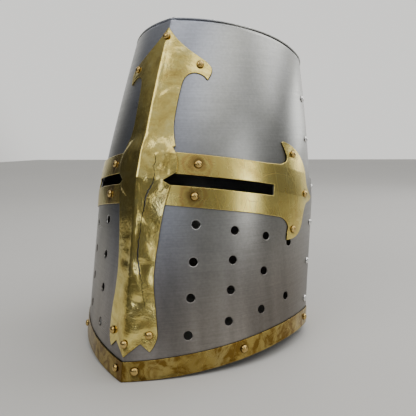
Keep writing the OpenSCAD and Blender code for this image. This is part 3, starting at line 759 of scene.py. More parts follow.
def arm(side):
    """One arm of the cross round its eye slot; side is 1 on the wearer's left and -1 on the right."""
    inner, outer_s = s_at_x(18.8), s_at_x(SLOT_OUTER_X)
    foot = SLOT_BOTTOM - ARM_STRIP
    loop = [(inner, foot + 0.7), (outer_s - 18, foot + 0.2)] + list(fluke_outline())
    loop += [(outer_s - 10, 189.6), (inner, 189.4), (inner, SLOT_TOP), (outer_s, SLOT_TOP),
             (outer_s, SLOT_BOTTOM), (inner, SLOT_BOTTOM)]
    loop = np.array([tuple(q) for q in loop]) * (side, 1)
    spots = [(s_of(v), z) for v, z in ARM_PLACES]
    wavy = dents(41 if side > 0 else 42, 40, (10, 170, 120, 215), (8, 16), (-0.08, 0.14))

    def outer(s, z):
        s = side * s
        return arm_seat(s, z) + BRASS_T + wavy(s, z) + rivet_dimples(s, z, spots)

    name = side_name(side)
    obj = sheet_piece("cross_arm_sheet_" + name, loop, [], mirrored_skin(side), outer, BRASS_T, spacing=2.2,
                      bevel=0.42, edge_step=1.2)
    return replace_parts(obj, "cross_arm_" + name)


def band(side):
    """One half of the rim band, cut as distance round the outline and height over the rim."""
    span = np.linspace(0, S_BACK, 150)
    span[[0, -1]] = GAP / 2, S_BACK - GAP / 2
    loop = [(s, 0.0) for s in span] + [(s, BAND_HEIGHT) for s in span[::-1]]
    wavy = dents(51 if side > 0 else 52, 120, (0, 420, 0, 16), (4, 9), (-0.1, 0.2))
    spots = [(s_of(v), BAND_HEIGHT / 2) for v in RIM_PLACES]

    def outer(s, h):
        v = v_of(np.abs(s))
        seat = np.where(v <= FRONT_END, GAP, GAP - LAYER * np.clip((v - FRONT_END) / 0.02, 0, 1))
        near_edge = step(h, 0.5, 3.5)
        return seat + BRASS_T + (wavy(np.abs(s), h) + rivet_dimples(np.abs(s), h, spots)) * near_edge

    def skin(s, h, off):
        v = v_of(np.abs(s))
        return wall(v, rim_z(v, off) + h, off, BAND_RIDGE_R) * (side, 1, 1)
    name = side_name(side)
    obj = sheet_piece("rim_band_sheet_" + name, np.array(loop) * (side, 1), [], skin, outer, BRASS_T,
                      spacing=2.6, bevel=0.42, edge_step=1.5, columns=(side * 0.8, side * 1.6))
    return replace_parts(obj, "rim_band_" + name)


# ---- lining -------------------------------------------------------------------
def leather_band():
    """The brow band of the lining."""
    end = S_BACK - 0.25
    low, high = BROW_Z - BROW_HALF, BROW_Z + BROW_HALF
    span = np.linspace(-end, end, 300)
    loop = [(s, low) for s in span] + [(s, high) for s in span[::-1]]
    holes = [circle(s_of(v), BROW_Z, 1.75, 14) for v in (SEAM_UPPER[1][0], -SEAM_UPPER[1][0])]
    uneven = dents(61, 60, (-420, 420, 205, 245), (8, 20), (-0.12, 0.12))

    def outer(s, z):
        return uneven(s, z) - BROW_INSET - 0.12
    obj = sheet_piece("brow_band_leather", loop, holes, wrapped(LINING_RIDGE_R), outer, LINER_T - 0.2,
                      spacing=4.0, bevel=0.7, hole_bevel=0.3, edge_step=3.0)
    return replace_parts(obj, "brow_band")


PAD_CENTRE = np.array([0.0, 142.0])
PAD_R = 30.0
PAD_Z = 289.0


TONGUE_V = (0.28, 0.76, 1.26, 1.74)
TONGUE_HALF_V = 0.07
TONGUE_HALF_ANGLE = math.radians(9)


def tongue_curve(v, edge, t):
    """Point on a tongue: edge from -1 to 1 across it, t below 0 on the brow band and 0 to 1 up to the pad."""
    low, high = BROW_Z - BROW_HALF + 3, BROW_Z + BROW_HALF + 1
    off = -BROW_INSET - LINER_T - GAP
    start = wall(v + edge * TONGUE_HALF_V, high, off, LINING_RIDGE_R)
    below = wall(v + edge * TONGUE_HALF_V, low, off, LINING_RIDGE_R)
    if t < 0:
        return start + (below - start) * -t
    middle = wall(v, high, off, LINING_RIDGE_R)[:2] - PAD_CENTRE
    a = math.atan2(middle[1], middle[0]) + edge * TONGUE_HALF_ANGLE
    out = np.array([math.cos(a), math.sin(a), 0])
    last = np.array([*PAD_CENTRE, PAD_Z]) + (PAD_R - 8) * out
    rise = unit(start - below)
    w = 1 - t
    bend = 3 * w * w * t * (start + 24 * rise) + 3 * w * t * t * (last + 26 * out)
    return w ** 3 * start + bend + t ** 3 * last


def tongues():
    """Eight soft leather strips from the brow band to the crown pad, as one piece."""
    verts, faces, start = [], [], 0
    widths = np.array([-1, -0.97, -0.9, -0.6, -0.2, 0.2, 0.6, 0.9, 0.97, 1])
    lengths = np.concatenate([np.linspace(-1, 0, 7)[:-1], np.linspace(0, 1, 26)])
    rows, cols = len(lengths), len(widths)
    half, last = rows * cols, (rows - 1) * cols
    # The strip's edges thin out to a round
    full = LINER_T * 0.45 * (np.clip((1 - np.abs(widths)) / 0.1, 0, 1) ** 0.5)[None, :, None]
    for v in TONGUE_V + tuple(-v for v in TONGUE_V):
        grid = np.array([[tongue_curve(v, e, t) for e in widths] for t in lengths])
        n = unit(np.cross(np.gradient(grid, axis=0), np.gradient(grid, axis=1)))
        if (np.array([*PAD_CENTRE, BROW_Z]) - grid[3, 4]) @ n[3, 4] < 0:
            n = -n
        for face in (grid + n * (LINER_T * 0.5 + full), grid + n * (LINER_T * 0.5 - full)):
            verts.append(face.reshape(-1, 3))
        quads = []
        for r in range(rows - 1):
            for c in range(cols - 1):
                q = (r * cols + c, (r + 1) * cols + c, (r + 1) * cols + c + 1, r * cols + c + 1)
                quads += [q, tuple(half + k for k in q[::-1])]
        for c in range(cols - 1):
            quads.append((c, c + 1, half + c + 1, half + c))
            quads.append((last + c + 1, last + c, half + last + c, half + last + c + 1))
        for r in range(rows - 1):
            for c, turn in ((0, 1), (cols - 1, -1)):
                q = (r * cols + c, half + r * cols + c, half + (r + 1) * cols + c, (r + 1) * cols + c)
                quads.append(q[::turn])
        flip = np.cross(grid[1, 0] - grid[0, 0], grid[0, 1] - grid[0, 0]) @ n[0, 0] < 0
        faces += [tuple(start + k for k in (q[::-1] if flip else q)) for q in quads]
        start += 2 * half
    obj = add_mesh("liner_tongues_leather", rest(np.concatenate(verts)), faces)
    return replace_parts(obj, "liner_tongues")


def crown_disc():
    """The leather disc that joins the tongues under the crown."""
    def skin(x, y, off):
        return np.stack([x, y, PAD_Z + GAP + LINER_T + off + 0.0 * x], -1)
    loop = circle(PAD_CENTRE[0], PAD_CENTRE[1], PAD_R - 0.1, 90)
    puffed = dents(71, 16, (-28, 28, 114, 170), (6, 14), (0.02, 0.2))
    obj = sheet_piece("crown_disc_leather", loop, [], skin, puffed, LINER_T - 0.3, spacing=3.0, bevel=0.7)
    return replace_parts(obj, "liner_crown_pad")


# ---- chin strap ---------------------------------------------------------------
STRAP_W = 16.0
STRAP_T = 2.4
STRAP_INSET = 10.4
SHORT_L = 44.0
LONG_L = 92.0
BUCKLE_BAR_R = 1.5
BUCKLE_L = 20.0
BUCKLE_HALF_W = STRAP_W / 2 + 2.5


def hang(side, p):
    """From the strap's own frame, x to the wall and z up from its rivet, to the row frame in metres."""
    pivot = rest(wall(side, STRAP_RIVET_Z, -STRAP_INSET, 0))
    return np.asarray(p, float) * (side, 1, 1) * MM + pivot


def hung(side):
    """Puts a strap's own frame on its rivet: x to the wall, z up, and mirrored on the right side."""
    def place(verts, normals):
        return hang(side, verts), normals * (side, 1, 1), side < 0
    return place


def distance_down(path):
    """Distance along a path at each of its points."""
    return np.concatenate([[0], np.cumsum(np.hypot(*np.diff(path, axis=0).T))])


def strap(name, body, side, loop, holes, path, thickness, bevel=0.55, spacing=1.8):
    """A flat strap bent along a path. The pattern's x is across it and its y the distance down the path."""
    run = distance_down(path)
    way = unit(np.gradient(path, run, axis=0))

    def skin(x, y, off):
        px, pz = np.interp(y, run, path[:, 0]), np.interp(y, run, path[:, 1])
        wx, wz = np.interp(y, run, way[:, 0]), np.interp(y, run, way[:, 1])
        return np.stack([px + wz * off, x, pz - wx * off], -1)

    def outer(x, y):
        return np.full_like(x, thickness / 2)
    return sheet_piece(name, loop, holes, skin, outer, thickness, spacing=spacing, bevel=bevel,
                       hole_bevel=0.3, edge_step=1.0, place=hung(side), body=body)


# A strap's pattern starts above its rivet: its half width is also how far above
STRAP_TOP = STRAP_W / 2
STRAP_HALF = STRAP_W / 2 - 0.05
STRAP_HOLE = circle(0, STRAP_TOP, SHANK_R + 0.06, 18)
ROUND_TOP = [(STRAP_HALF * math.cos(a), STRAP_TOP - STRAP_HALF * math.sin(a))
             for a in np.linspace(math.pi, 0, 16)]


def tip_strap():
    """The strap with the punched holes and the pointed tip."""
    end = STRAP_TOP + LONG_L
    tip, shoulder = (3.0, end - 0.4), (STRAP_HALF, end - 7)
    loop = ROUND_TOP + [shoulder, tip, (0, end - 0.05), (-tip[0], tip[1]), (-shoulder[0], shoulder[1])]
    holes = [STRAP_HOLE] + [circle(0, end - 18 - 10 * k, 1.5, 16) for k in range(5)]
    straight = np.array([(0, STRAP_TOP), (0, STRAP_TOP - 140)], float)
    obj = strap("tip_strap_leather", "tip_strap", -1, loop, holes, straight, STRAP_T - 0.1)
    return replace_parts(obj, "tip_strap")


def buckle_strap():
    """The strap that folds round the buckle's bar, with the prong's slot at the fold."""
    bends = [(0, -34), (-0.25, -38), (-1.1, -41.4), (-1.5, -44), (-0.72, -45.95), (1.2, -46.7),
             (3.12, -45.95), (3.9, -44), (3.5, -41.4), (2.65, -38), (2.42, -34)]
    path = np.array([(0, STRAP_TOP), (0, -20), *smooth(bends, steps=5), (2.42, -22.2)], float)
    run = distance_down(path)
    loop = ROUND_TOP + [(STRAP_HALF, run[-1]), (-STRAP_HALF, run[-1])]
    fold = run[np.argmin(path[:, 1])]
    slot = np.array([(-2.4, -7.8), (2.4, -7.8), (2.4, 7.8), (-2.4, 7.8)]) + (0, fold)
    obj = strap("buckle_strap_leather", "buckle_strap", 1, loop, [STRAP_HOLE, slot], path, STRAP_T - 0.16,
                bevel=0.45, spacing=1.0)
    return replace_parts(obj, "buckle_strap")


STITCH_PITCH = 3.6
STITCH_HALF = 1.35
STITCH_SLANT = 0.18
STITCH_SIDES = 8
STITCH_RINGS = 7


def stitches(name, body, side, rows):
    """Short thread stitches on a strap, in rows of (x, from z, to z, height of the face that they lie on)."""
    verts, faces = [], []
    around = np.linspace(0, 2 * math.pi, STITCH_SIDES, endpoint=False)
    for x0, z0, z1, face_x in rows:
        proud = face_x + math.copysign(0.02, face_x)
        count = int(abs(z1 - z0) / STITCH_PITCH)
        for k in range(count):
            z = z0 + (z1 - z0) * (k + 0.5) / count
            start = len(verts)
            for share in np.linspace(0, 1, STITCH_RINGS):
                r = 0.12 + 0.26 * math.sin(math.pi * share)
                x = x0 + STITCH_SLANT * (share - 0.5)
                length = STITCH_HALF * (share - 0.5) * 2
                verts += [(proud + r * 0.8 * math.cos(a), x + r * math.sin(a), z + length) for a in around]
            for i in range(start, len(verts) - STITCH_SIDES, STITCH_SIDES):
                for c in range(STITCH_SIDES):
                    n = (c + 1) % STITCH_SIDES
                    faces.append((i + c, i + n, i + STITCH_SIDES + n, i + STITCH_SIDES + c))
            ends = range(STITCH_SIDES)
            faces.append(tuple(start + c for c in ends[::-1]))
            faces.append(tuple(len(verts) - STITCH_SIDES + c for c in ends))
    return add_mesh(name, hang(side, verts), [f[::-1] for f in faces] if side < 0 else faces, None, body)


def ring_bar(name, body, path, radius, sides=16):
    """A round bar bent along a closed flat path of points in the row frame."""
    p = np.array(path, float)
    n = len(p)
    ahead = unit(np.roll(p, -1, 0) - np.roll(p, 1, 0))
    flat = unit(np.cross(p[n // 4] - p[0], p[n // 2] - p[0]))
    verts, faces = [], []
    for q, way in zip(p, ahead):
        across = np.cross(way, flat)
        for a in np.linspace(0, 2 * math.pi, sides, endpoint=False):
            verts.append(q + radius * (math.cos(a) * across + math.sin(a) * flat))
    for k in range(n):
        for c in range(sides):
            d, m = (c + 1) % sides, (k + 1) % n
            faces.append((k * sides + c, m * sides + c, m * sides + d, k * sides + d))
    return add_mesh(name, verts, faces, None, body)


def buckle_ring():
    """The buckle's frame: a rectangle with round corners, from the bar in the fold of the strap down."""
    half, r = BUCKLE_HALF_W, 3.0
    high, low = -SHORT_L, -SHORT_L - BUCKLE_L
    path = []
    for cy, cz, a0 in ((half - r, high - r, 0), (-half + r, high - r, 90), (-half + r, low + r, 180),
                       (half - r, low + r, 270)):
        path += [(STRAP_T / 2, y, z) for y, z in arc(cy, cz, r, a0, a0 + 90, 8)]
    obj = ring_bar("buckle_ring", "buckle_frame", hang(1, path), (BUCKLE_BAR_R - 0.1) * MM)
    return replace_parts(obj, "buckle_frame")


# ---- fittings -----------------------------------------------------------------
def all_rivets():
    """The rivets, as the brass pieces and the steel pieces."""
    on_brass, on_upper = GAP + BRASS_T, GAP + BRASS_T - LAYER
    one, two = BRASS_T + STEEL_T + GAP + 0.3, 2 * STEEL_T + GAP + 0.3
    strap_stack = STRAP_INSET + STRAP_T / 2 + 1.5
    spots = [on_wall(v, z, on_upper if z > KINK_Z else on_brass, one + (1.5 if v == 0 else 0))
             for v, z in BAR_PLACES]
    brass = [rivet_row("bar_rivet_heads", spots, "bar_rivets")]
    offs = [on_upper, on_brass, on_brass - LAYER * 0.65, on_brass, on_brass]
    for side in (1, -1):
        name = side_name(side)
        spots = [on_wall(side * v, z, off, one) for (v, z), off in zip(ARM_PLACES, offs)]
        brass.append(rivet_row("arm_rivet_heads_" + name, spots, "arm_rivets_" + name))
    spots = []
    for v, _ in both_sides([(v, 0) for v in RIM_PLACES] + [(2, 0)]):
        z = float(rim_z(v)) + BAND_HEIGHT / 2
        stack = one + (LAYER if v == 0.985 else 0)
        spots.append(on_wall(v, z, on_brass if abs(v) < 1.2 else on_upper, stack))
    brass.append(rivet_row("rim_rivet_heads", spots, "rim_rivets"))

    steel = []
    for side in (1, -1):
        name = side_name(side)
        spots = [on_wall(side * v, z, -LAYER, two if z > 250 else LINER_STACK - LAYER) for v, z in SEAM_UPPER]
        spots += [on_wall(side * v, z, 0, two if v < 1 else strap_stack) for v, z in SEAM_LOWER]
        steel.append(rivet_row("seam_rivet_heads_" + name, spots, "seam_rivets_" + name))
    spots = [on_wall(v, z, -LAYER, two) for v, z in both_sides(WAIST + [(2, 180)])]
    steel.append(rivet_row("waist_rivet_heads", spots, "waist_rivets"))
    spots = [on_wall(2, BROW_Z, -2 * LAYER, LINER_STACK - 2 * LAYER)]
    steel.append(rivet_row("brow_rivet_heads", spots, "brow_rivets"))
    spots = []
    for v, _ in both_sides([(v, 0) for v in CROWN_RIVET_V]):
        p = wall(v, CROWN_HEIGHT, -LAYER - (LAYER if abs(v) > 1 else 0) - 6.2, 0)
        p[2] = CROWN_HEIGHT + CROWN_SLOPE * p[1] + STEEL_T + GAP
        spots.append((p, unit(CROWN_UP), two))
    steel.append(rivet_row("crown_rivet_heads", spots, "crown_rivets"))
    return brass, steel


# ---- materials ----------------------------------------------------------------
class Nodes:
    """Short ways to build a node tree. Positions are in metres in the row frame."""

    def __init__(self, tree, here):
        self.tree = tree
        self.here = tree.nodes.new("ShaderNodeTexCoord").outputs[here]

    def put(self, socket, value):
        """Links an output to the socket, or sets the socket's own value."""
        if isinstance(value, bpy.types.NodeSocket):
            self.tree.links.new(value, socket)
        elif isinstance(value, tuple) and len(value) == 3 and socket.type == "RGBA":
            socket.default_value = (*value, 1)
        else:
            socket.default_value = value

    def node(self, kind, settings=(), **inputs):
        """A new node; settings are (name, value), and inputs are named with _ for a space."""
        node = self.tree.nodes.new("ShaderNode" + kind)
        for key, value in settings:
            setattr(node, key, value)
        for key, value in inputs.items():
            self.put(node.inputs[key.replace("_", " ")], value)
        return node

    def math(self, kind, a, b=0.0):
        node = self.node("Math", [("operation", kind)])
        self.put(node.inputs[0], a)
        self.put(node.inputs[1], b)
        return node.outputs[0]

    def times(self, a, b):
        return self.math("MULTIPLY", a, b)

    def span(self, value, low, high, at_low=0.0, at_high=1.0):
        """at_low where value is low, at_high where it is high, soft in between."""
        node = self.node("MapRange", [("interpolation_type", "SMOOTHSTEP")], Value=value, From_Min=low,
                         From_Max=high, To_Min=at_low, To_Max=at_high)
        return node.outputs["Result"]

    def against(self, kind, vector):
        """DISTANCE of the position from a point, or its DOT_PRODUCT with a direction."""
        node = self.node("VectorMath", [("operation", kind)])
        self.put(node.inputs[0], self.here)
        self.put(node.inputs[1], vector)
        return node.outputs["Value"]


class Finish(Nodes):
    """A Principled material."""

    def __init__(self, name, metallic, roughness, **constants):
        self.material = bpy.data.materials.new(name)
        self.material.use_nodes = True
        super().__init__(self.material.node_tree, "Object")
        self.shader = self.tree.nodes["Principled BSDF"]
        for key, value in dict(constants, Metallic=metallic, Roughness=roughness).items():
            self.put(self.shader.inputs[key.replace("_", " ")], value)
        self.normal = None

    def stretched(self, scale, turn=(0, 0, 0)):
        """The position scaled along each axis, to draw a texture out into lines."""
        return self.node("Mapping", Scale=scale, Rotation=turn, Vector=self.here).outputs["Vector"]

    def noise(self, scale, detail, rough, bend=0.0, at=None):
        node = self.node("TexNoise", Scale=scale, Detail=detail, Roughness=rough, Distortion=bend,
                         Vector=at or self.here)
        return node.outputs["Fac"]

    def cells(self, scale, feature="F1", at=None):
        node = self.node("TexVoronoi", [("feature", feature)], Scale=scale, Vector=at or self.here)
        return node.outputs["Distance"]

    def ramp(self, fac, *stops):
        """Value or colour by fac; stops are (position, number or colour)."""
        node = self.node("ValToRGB", Fac=fac)
        bar = node.color_ramp
        while len(bar.elements) < len(stops):
            bar.elements.new(0.5)
        for element, (position, value) in zip(bar.elements, stops):
            element.position = position
            element.color = (*value, 1) if isinstance(value, tuple) else (value, value, value, 1)
        return node.outputs["Color"]

    def mix(self, fac, a, b, kind="MIX"):
        node = self.node("Mix", [("data_type", "RGBA"), ("blend_type", kind)])
        sockets = {s.identifier: s for s in node.inputs}
        for key, value in (("Factor_Float", fac), ("A_Color", a), ("B_Color", b)):
            self.put(sockets[key], value)
        return {s.identifier: s for s in node.outputs}["Result_Color"]

    def marked(self, colour, amount, fac, *stops):
        """Colour lightened and darkened by a grey ramp."""
        return self.mix(amount, colour, self.ramp(fac, *stops), "OVERLAY")

    def axis(self, name):
        return self.node("SeparateXYZ", Vector=self.here).outputs[name]

    def from_middle(self, near, far):
        """0 at a distance near from the middle plane, 1 at far."""
        return self.span(self.math("ABSOLUTE", self.axis("X")), near, far)

    def painted_corner_shade(self, colour, reach, dark, amount):
        """Painted shade: colour darkened by ambient occlusion in the corners where another piece stands within
        reach millimetres.
        """
        node = self.node("AmbientOcclusion", [("samples", 8)], Distance=reach * MM)
        corner = self.span(node.outputs["AO"], 0.97, 0.55)
        return self.mix(self.times(corner, amount), colour, dark)

    def bump(self, height, millimetres, strength):
        node = self.node("Bump", Strength=strength, Distance=millimetres * MM, Height=height)
        if self.normal is not None:
            self.put(node.inputs["Normal"], self.normal)
        self.normal = node.outputs["Normal"]

    def brushed_round(self, amount):
        """Highlights drawn out up and down, as brushing round the helm does."""
        node = self.node("Tangent", [("direction_type", "RADIAL"), ("axis", "Z")])
        self.put(self.shader.inputs["Tangent"], node.outputs["Tangent"])
        self.put(self.shader.inputs["Anisotropic"], amount)

    def done(self, colour, roughness=None):
        self.put(self.shader.inputs["Base Color"], colour)
        if roughness is not None:
            self.put(self.shader.inputs["Roughness"], roughness)
        if self.normal is not None:
            self.put(self.shader.inputs["Normal"], self.normal)
        return self.material


def brushed_steel():
    f = Finish("brushed_steel", 1.0, 0.3)
    f.brushed_round(0.45)
    lines = f.noise(1.0, 5, 0.65, at=f.stretched((22, 22, 1300)))
    long_lines = f.noise(1.0, 3, 0.6, at=f.stretched((9, 9, 420)))
    smudge = f.noise(11, 6, 0.62, 0.6)
    grain = f.noise(420, 3, 0.6)
    low = f.span(f.axis("Z"), 0.17, 0.03)
    reflection_tint_near_cross = f.from_middle(0.055, 0.02)
    colour = f.ramp(smudge, (0.3, (0.36, 0.36, 0.34)), (0.52, (0.41, 0.415, 0.40)),
                    (0.72, (0.46, 0.465, 0.465)))
    # Painted reflection: a bluish tint near the middle of the front, for the window light that it reflects
    colour = f.mix(f.times(reflection_tint_near_cross, 0.6), colour, (0.38, 0.41, 0.52))
    upright = f.noise(1.0, 3, 0.5, at=f.stretched((26, 26, 1.5)))
    beside = f.from_middle(0.055, 0.108)
    # Painted shade: the steel is darker and browner towards the floor, and darkest low at the sides
    colour = f.mix(f.times(low, 0.85), colour, (0.23, 0.205, 0.18))
    colour = f.mix(f.times(f.times(low, beside), 0.7), colour, (0.09, 0.078, 0.066))
    # Painted reflection: soft upright light and dark bands low on the steel
    colour = f.marked(colour, f.times(low, 0.6), upright, (0.36, 0.25), (0.62, 0.72))
    colour = f.marked(colour, 0.22, lines, (0.3, 0.32), (0.7, 0.75))
    colour = f.marked(colour, 0.16, grain, (0.35, 0.3), (0.65, 0.72))
    rough = f.math("ADD", f.times(smudge, 0.16), f.times(long_lines, 0.12))
    rough = f.math("ADD", rough, 0.17)
    # Painted shade darkens the steel's corners beside other pieces; it stops below the crown's edge, where it
    # would darken the bend under the crown plate
    up = rest_direction(CROWN_UP)
    crown_level = float(rest((0, 0, CROWN_HEIGHT)) @ up)
    height = f.against("DOT_PRODUCT", tuple(up))
    below_crown = f.span(height, crown_level - 3 * MM, crown_level - 9 * MM)
    colour = f.painted_corner_shade(colour, 2.0, (0.03, 0.027, 0.022), f.times(below_crown, 0.75))
    f.bump(lines, 0.012, 0.6)
    f.bump(grain, 0.02, 0.35)
    f.bump(f.noise(55, 3, 0.5), 0.10, 0.25)
    return f.done(colour, rough)


def steel_rivet():
    f = Finish("polished_steel_rivet", 1.0, 0.18)
    marks = f.noise(480, 4, 0.6, 0.5)
    colour = f.ramp(marks, (0.3, (0.66, 0.65, 0.63)), (0.7, (0.90, 0.90, 0.89)))
    f.bump(f.cells(700), 0.10, 0.35)
    f.bump(marks, 0.05, 0.3)
    return f.done(colour, f.ramp(marks, (0.3, 0.32), (0.7, 0.14)))


def hammered_brass():
    f = Finish("hammered_brass", 1.0, 0.24)
    patches = f.noise(34, 6, 0.62, 1.4)
    streaks = f.noise(1.0, 6, 0.62, 1.0, at=f.stretched((210, 210, 60)))
    stain = f.span(f.noise(26, 5, 0.6, 2.2), 0.56, 0.72)
    fine = f.noise(520, 4, 0.65)
    colour = f.ramp(patches, (0.28, (0.46, 0.33, 0.08)), (0.5, (0.84, 0.68, 0.21)), (0.7, (0.94, 0.82, 0.34)))
    colour = f.mix(f.times(stain, 0.55), colour, (0.36, 0.24, 0.09))
    colour = f.marked(colour, 0.3, streaks, (0.3, 0.3), (0.7, 0.72))
    colour = f.marked(colour, 0.15, fine, (0.35, 0.3), (0.65, 0.7))
    # Painted shade in the bar's corners beside other pieces
    colour = f.painted_corner_shade(colour, 2.0, (0.10, 0.06, 0.015), 0.8)
    rough = f.math("ADD", f.ramp(patches, (0.3, 0.24), (0.7, 0.11)), f.times(stain, 0.12))
    f.bump(f.noise(95, 4, 0.55, 0.8), 0.6, 0.42)
    f.bump(f.noise(48, 3, 0.5, 1.8), 0.9, 0.2)
    f.bump(streaks, 0.15, 0.35)
    f.bump(fine, 0.02, 0.3)
    return f.done(colour, rough)


def brass_sheet(name, spots, dark=0.0):
    """Polished sheet brass with heat colours round some of its rivets, painted shade in its corners, and where
    dark is given a painted reflection of the brown table.
    """
    f = Finish(name, 1.0, 0.25)
    f.brushed_round(0.3)
    clouds = f.noise(22, 5, 0.6, 0.8)
    bands = f.noise(1.0, 4, 0.6, 0.4, at=f.stretched((150, 150, 9)))
    lines = f.noise(1.0, 4, 0.6, at=f.stretched((30, 30, 1100)))
    colour = f.ramp(clouds, (0.28, (0.64, 0.48, 0.13)), (0.5, (0.88, 0.72, 0.22)), (0.72, (0.94, 0.82, 0.32)))
    colour = f.marked(colour, 0.35, bands, (0.3, 0.28), (0.7, 0.72))
    uneven = f.times(f.math("SUBTRACT", f.noise(55, 3, 0.6, 0.8), 0.5), 0.016)
    for spot in spots:
        d = f.math("ADD", f.against("DISTANCE", spot), uneven)
        inner = f.span(d, 0.0055, 0.0095, 1.0, 0.0)
        ring = f.times(f.span(d, 0.0085, 0.0105), f.span(d, 0.0105, 0.0135, 1.0, 0.0))
        colour = f.mix(f.times(inner, 0.8), colour, (0.42, 0.26, 0.08))
        colour = f.mix(f.times(ring, 0.45), colour, (0.50, 0.23, 0.07))
    # Painted reflection: where dark is given, the brass is darkened to reddish brown in patches, for the brown
    # table that it reflects
    if dark:
        table_reflection_patches = f.span(f.noise(48, 5, 0.65, 1.8), 0.42, 0.7)
        colour = f.mix(f.math("ADD", f.times(table_reflection_patches, 0.5), dark), colour, (0.19, 0.11, 0.022))
    slanted = f.stretched((1.0, 1.0, 0.35), (0.4, 0.9, 0.3))
    scratches = f.span(f.cells(60, "DISTANCE_TO_EDGE", slanted), 0.012, 0.0)
    colour = f.mix(f.times(scratches, 0.25), colour, (0.42, 0.30, 0.12))
    # Painted shade in the corners beside other pieces, such as along the bar's edge over the arms
    colour = f.painted_corner_shade(colour, 3.0, (0.06, 0.035, 0.01), 0.95)
    rough = f.math("ADD", f.ramp(clouds, (0.3, 0.30), (0.7, 0.19)), f.times(scratches, 0.08))
    f.bump(f.noise(60, 3, 0.5, 0.5), 0.35, 0.3)
    f.bump(lines, 0.012, 0.5)
    return f.done(colour, rough)


def brass_rivet():
    f = Finish("brass_rivet", 1.0, 0.2)
    marks = f.noise(380, 4, 0.6, 0.5)
    colour = f.ramp(marks, (0.3, (0.42, 0.27, 0.08)), (0.7, (0.72, 0.53, 0.20)))
    f.bump(f.cells(650), 0.10, 0.35)
    return f.done(colour, f.ramp(marks, (0.3, 0.34), (0.7, 0.16)))


def leather(name, dark, light, gloss):
    f = Finish(name, 0.0, gloss, Specular_IOR_Level=0.45)
    mottle = f.noise(28, 6, 0.6, 0.7)
    pores = f.cells(900)
    wrinkle = f.cells(260, "DISTANCE_TO_EDGE")
    colour = f.ramp(mottle, (0.3, dark), (0.7, light))
    colour = f.marked(colour, 0.3, wrinkle, (0.0, 0.2), (0.18, 0.55))
    f.bump(f.span(wrinkle, 0.0, 0.16), 0.12, 0.45)
    f.bump(pores, 0.08, 0.4)
    f.bump(f.noise(70, 4, 0.6), 0.3, 0.3)
    return f.done(colour, f.ramp(mottle, (0.3, gloss + 0.1), (0.7, gloss - 0.08)))


def thread():
    f = Finish("waxed_thread", 0.0, 0.6, Sheen_Weight=0.25)
    twist = f.noise(1.0, 3, 0.6, at=f.stretched((2600, 2600, 900), (0.5, 0.4, 0)))
    f.bump(twist, 0.08, 0.5)
    return f.done(f.ramp(twist, (0.3, (0.42, 0.34, 0.22)), (0.7, (0.68, 0.58, 0.42))))


def floor_finish():
    f = Finish("pale_floor", 0.0, 0.5, Specular_IOR_Level=0.3)
    cloud = f.noise(1.3, 3, 0.5)
    f.bump(f.noise(300, 3, 0.6), 0.05, 0.1)
    return f.done(f.ramp(cloud, (0.3, (0.60, 0.59, 0.57)), (0.7, (0.64, 0.63, 0.61))))


def give(objects, finish):
    """Gives one object or several a material."""
    for obj in objects if isinstance(objects, (list, tuple)) else [objects]:
        obj.data.materials.clear()
        obj.data.materials.append(finish)


# ---- the helm -----------------------------------------------------------------
steel = brushed_steel()
plates = [front_lower(), back_lower(),
          upper("upper_front", "upper_front_plate", -FRONT_END, FRONT_END, -LAYER, 7),
          upper("upper_back", "upper_back_plate", BACK_START, 4 - BACK_START, -2 * LAYER, 9,
                FRONT_END + 0.005),
          crown()]
give(plates, steel)
give(bar(), hammered_brass())
for side in (1, -1):
    warm = [tuple(rest(wall(side * v, z, 0))) for v, z in ARM_PLACES[:2]]
    give(arm(side), brass_sheet("polished_brass_" + side_name(side), warm))
# The rim band takes the painted reflection of the table
give([band(1), band(-1)], brass_sheet("rim_brass", [], 0.72))
brass_heads, steel_heads = all_rivets()
give(brass_heads, brass_rivet())
bright_steel = steel_rivet()
give(steel_heads, bright_steel)

liner = leather("liner_leather", (0.10, 0.045, 0.018), (0.24, 0.12, 0.05), 0.55)
give([leather_band(), tongues(), crown_disc()], liner)
strap_hide = leather("strap_leather", (0.045, 0.02, 0.01), (0.12, 0.055, 0.025), 0.42)
tip = tip_strap()
short = buckle_strap()
give([tip, short], strap_hide)
waxed = thread()
edge_x = STRAP_W / 2 - 2.2
tip_rows = [(x, -8, -LONG_L + 12, face) for x in (-edge_x, edge_x) for face in (STRAP_T / 2, -STRAP_T / 2)]
short_rows = [(x, -8, -36, -STRAP_T / 2) for x in (-edge_x, edge_x)]
short_rows += [(x, -24, -36, 1.5 * STRAP_T) for x in (-edge_x, edge_x)]
give([stitches("tip_strap_stitches", "tip_strap", -1, tip_rows),
      stitches("buckle_strap_stitches", "buckle_strap", 1, short_rows)], waxed)
buckle_brass = brass_sheet("buckle_brass", [])
give(buckle_ring(), buckle_brass)

for node, finish, width in (("strap_keeper", strap_hide, 0.35), ("buckle_prong", buckle_brass, 0.2),
                            ("liner_washers", bright_steel, 0.2), ("strap_washers", bright_steel, 0.2)):
    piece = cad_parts[node]
    give(piece, finish)
    round_edges = piece.modifiers.new("edges", "BEVEL")
    round_edges.width = width * MM
    round_edges.segments = 3
    round_edges.limit_method = "ANGLE"
    round_edges.angle_limit = math.radians(35)
    round_edges.harden_normals = True

# ---- floor, light and camera ----------------------------------------------------
bpy.ops.mesh.primitive_plane_add(size=8, location=(0, 0, 0))
floor = bpy.context.object
floor.name = "floor"
floor.data.materials.append(floor_finish())


def toward(azimuth, elevation):
    """Direction from the helm: azimuth 0 is ahead of it and 90 on the wearer's left."""
    a, e = math.radians(azimuth), math.radians(elevation)
    return Vector((math.sin(a) * math.cos(e), -math.cos(a) * math.cos(e), math.sin(e)))


LIT_POINT = Vector((0, 0, 0.16))
WARM_WHITE = (1.0, 0.99, 0.97)
COOL_WHITE = (0.92, 0.95, 1.0)


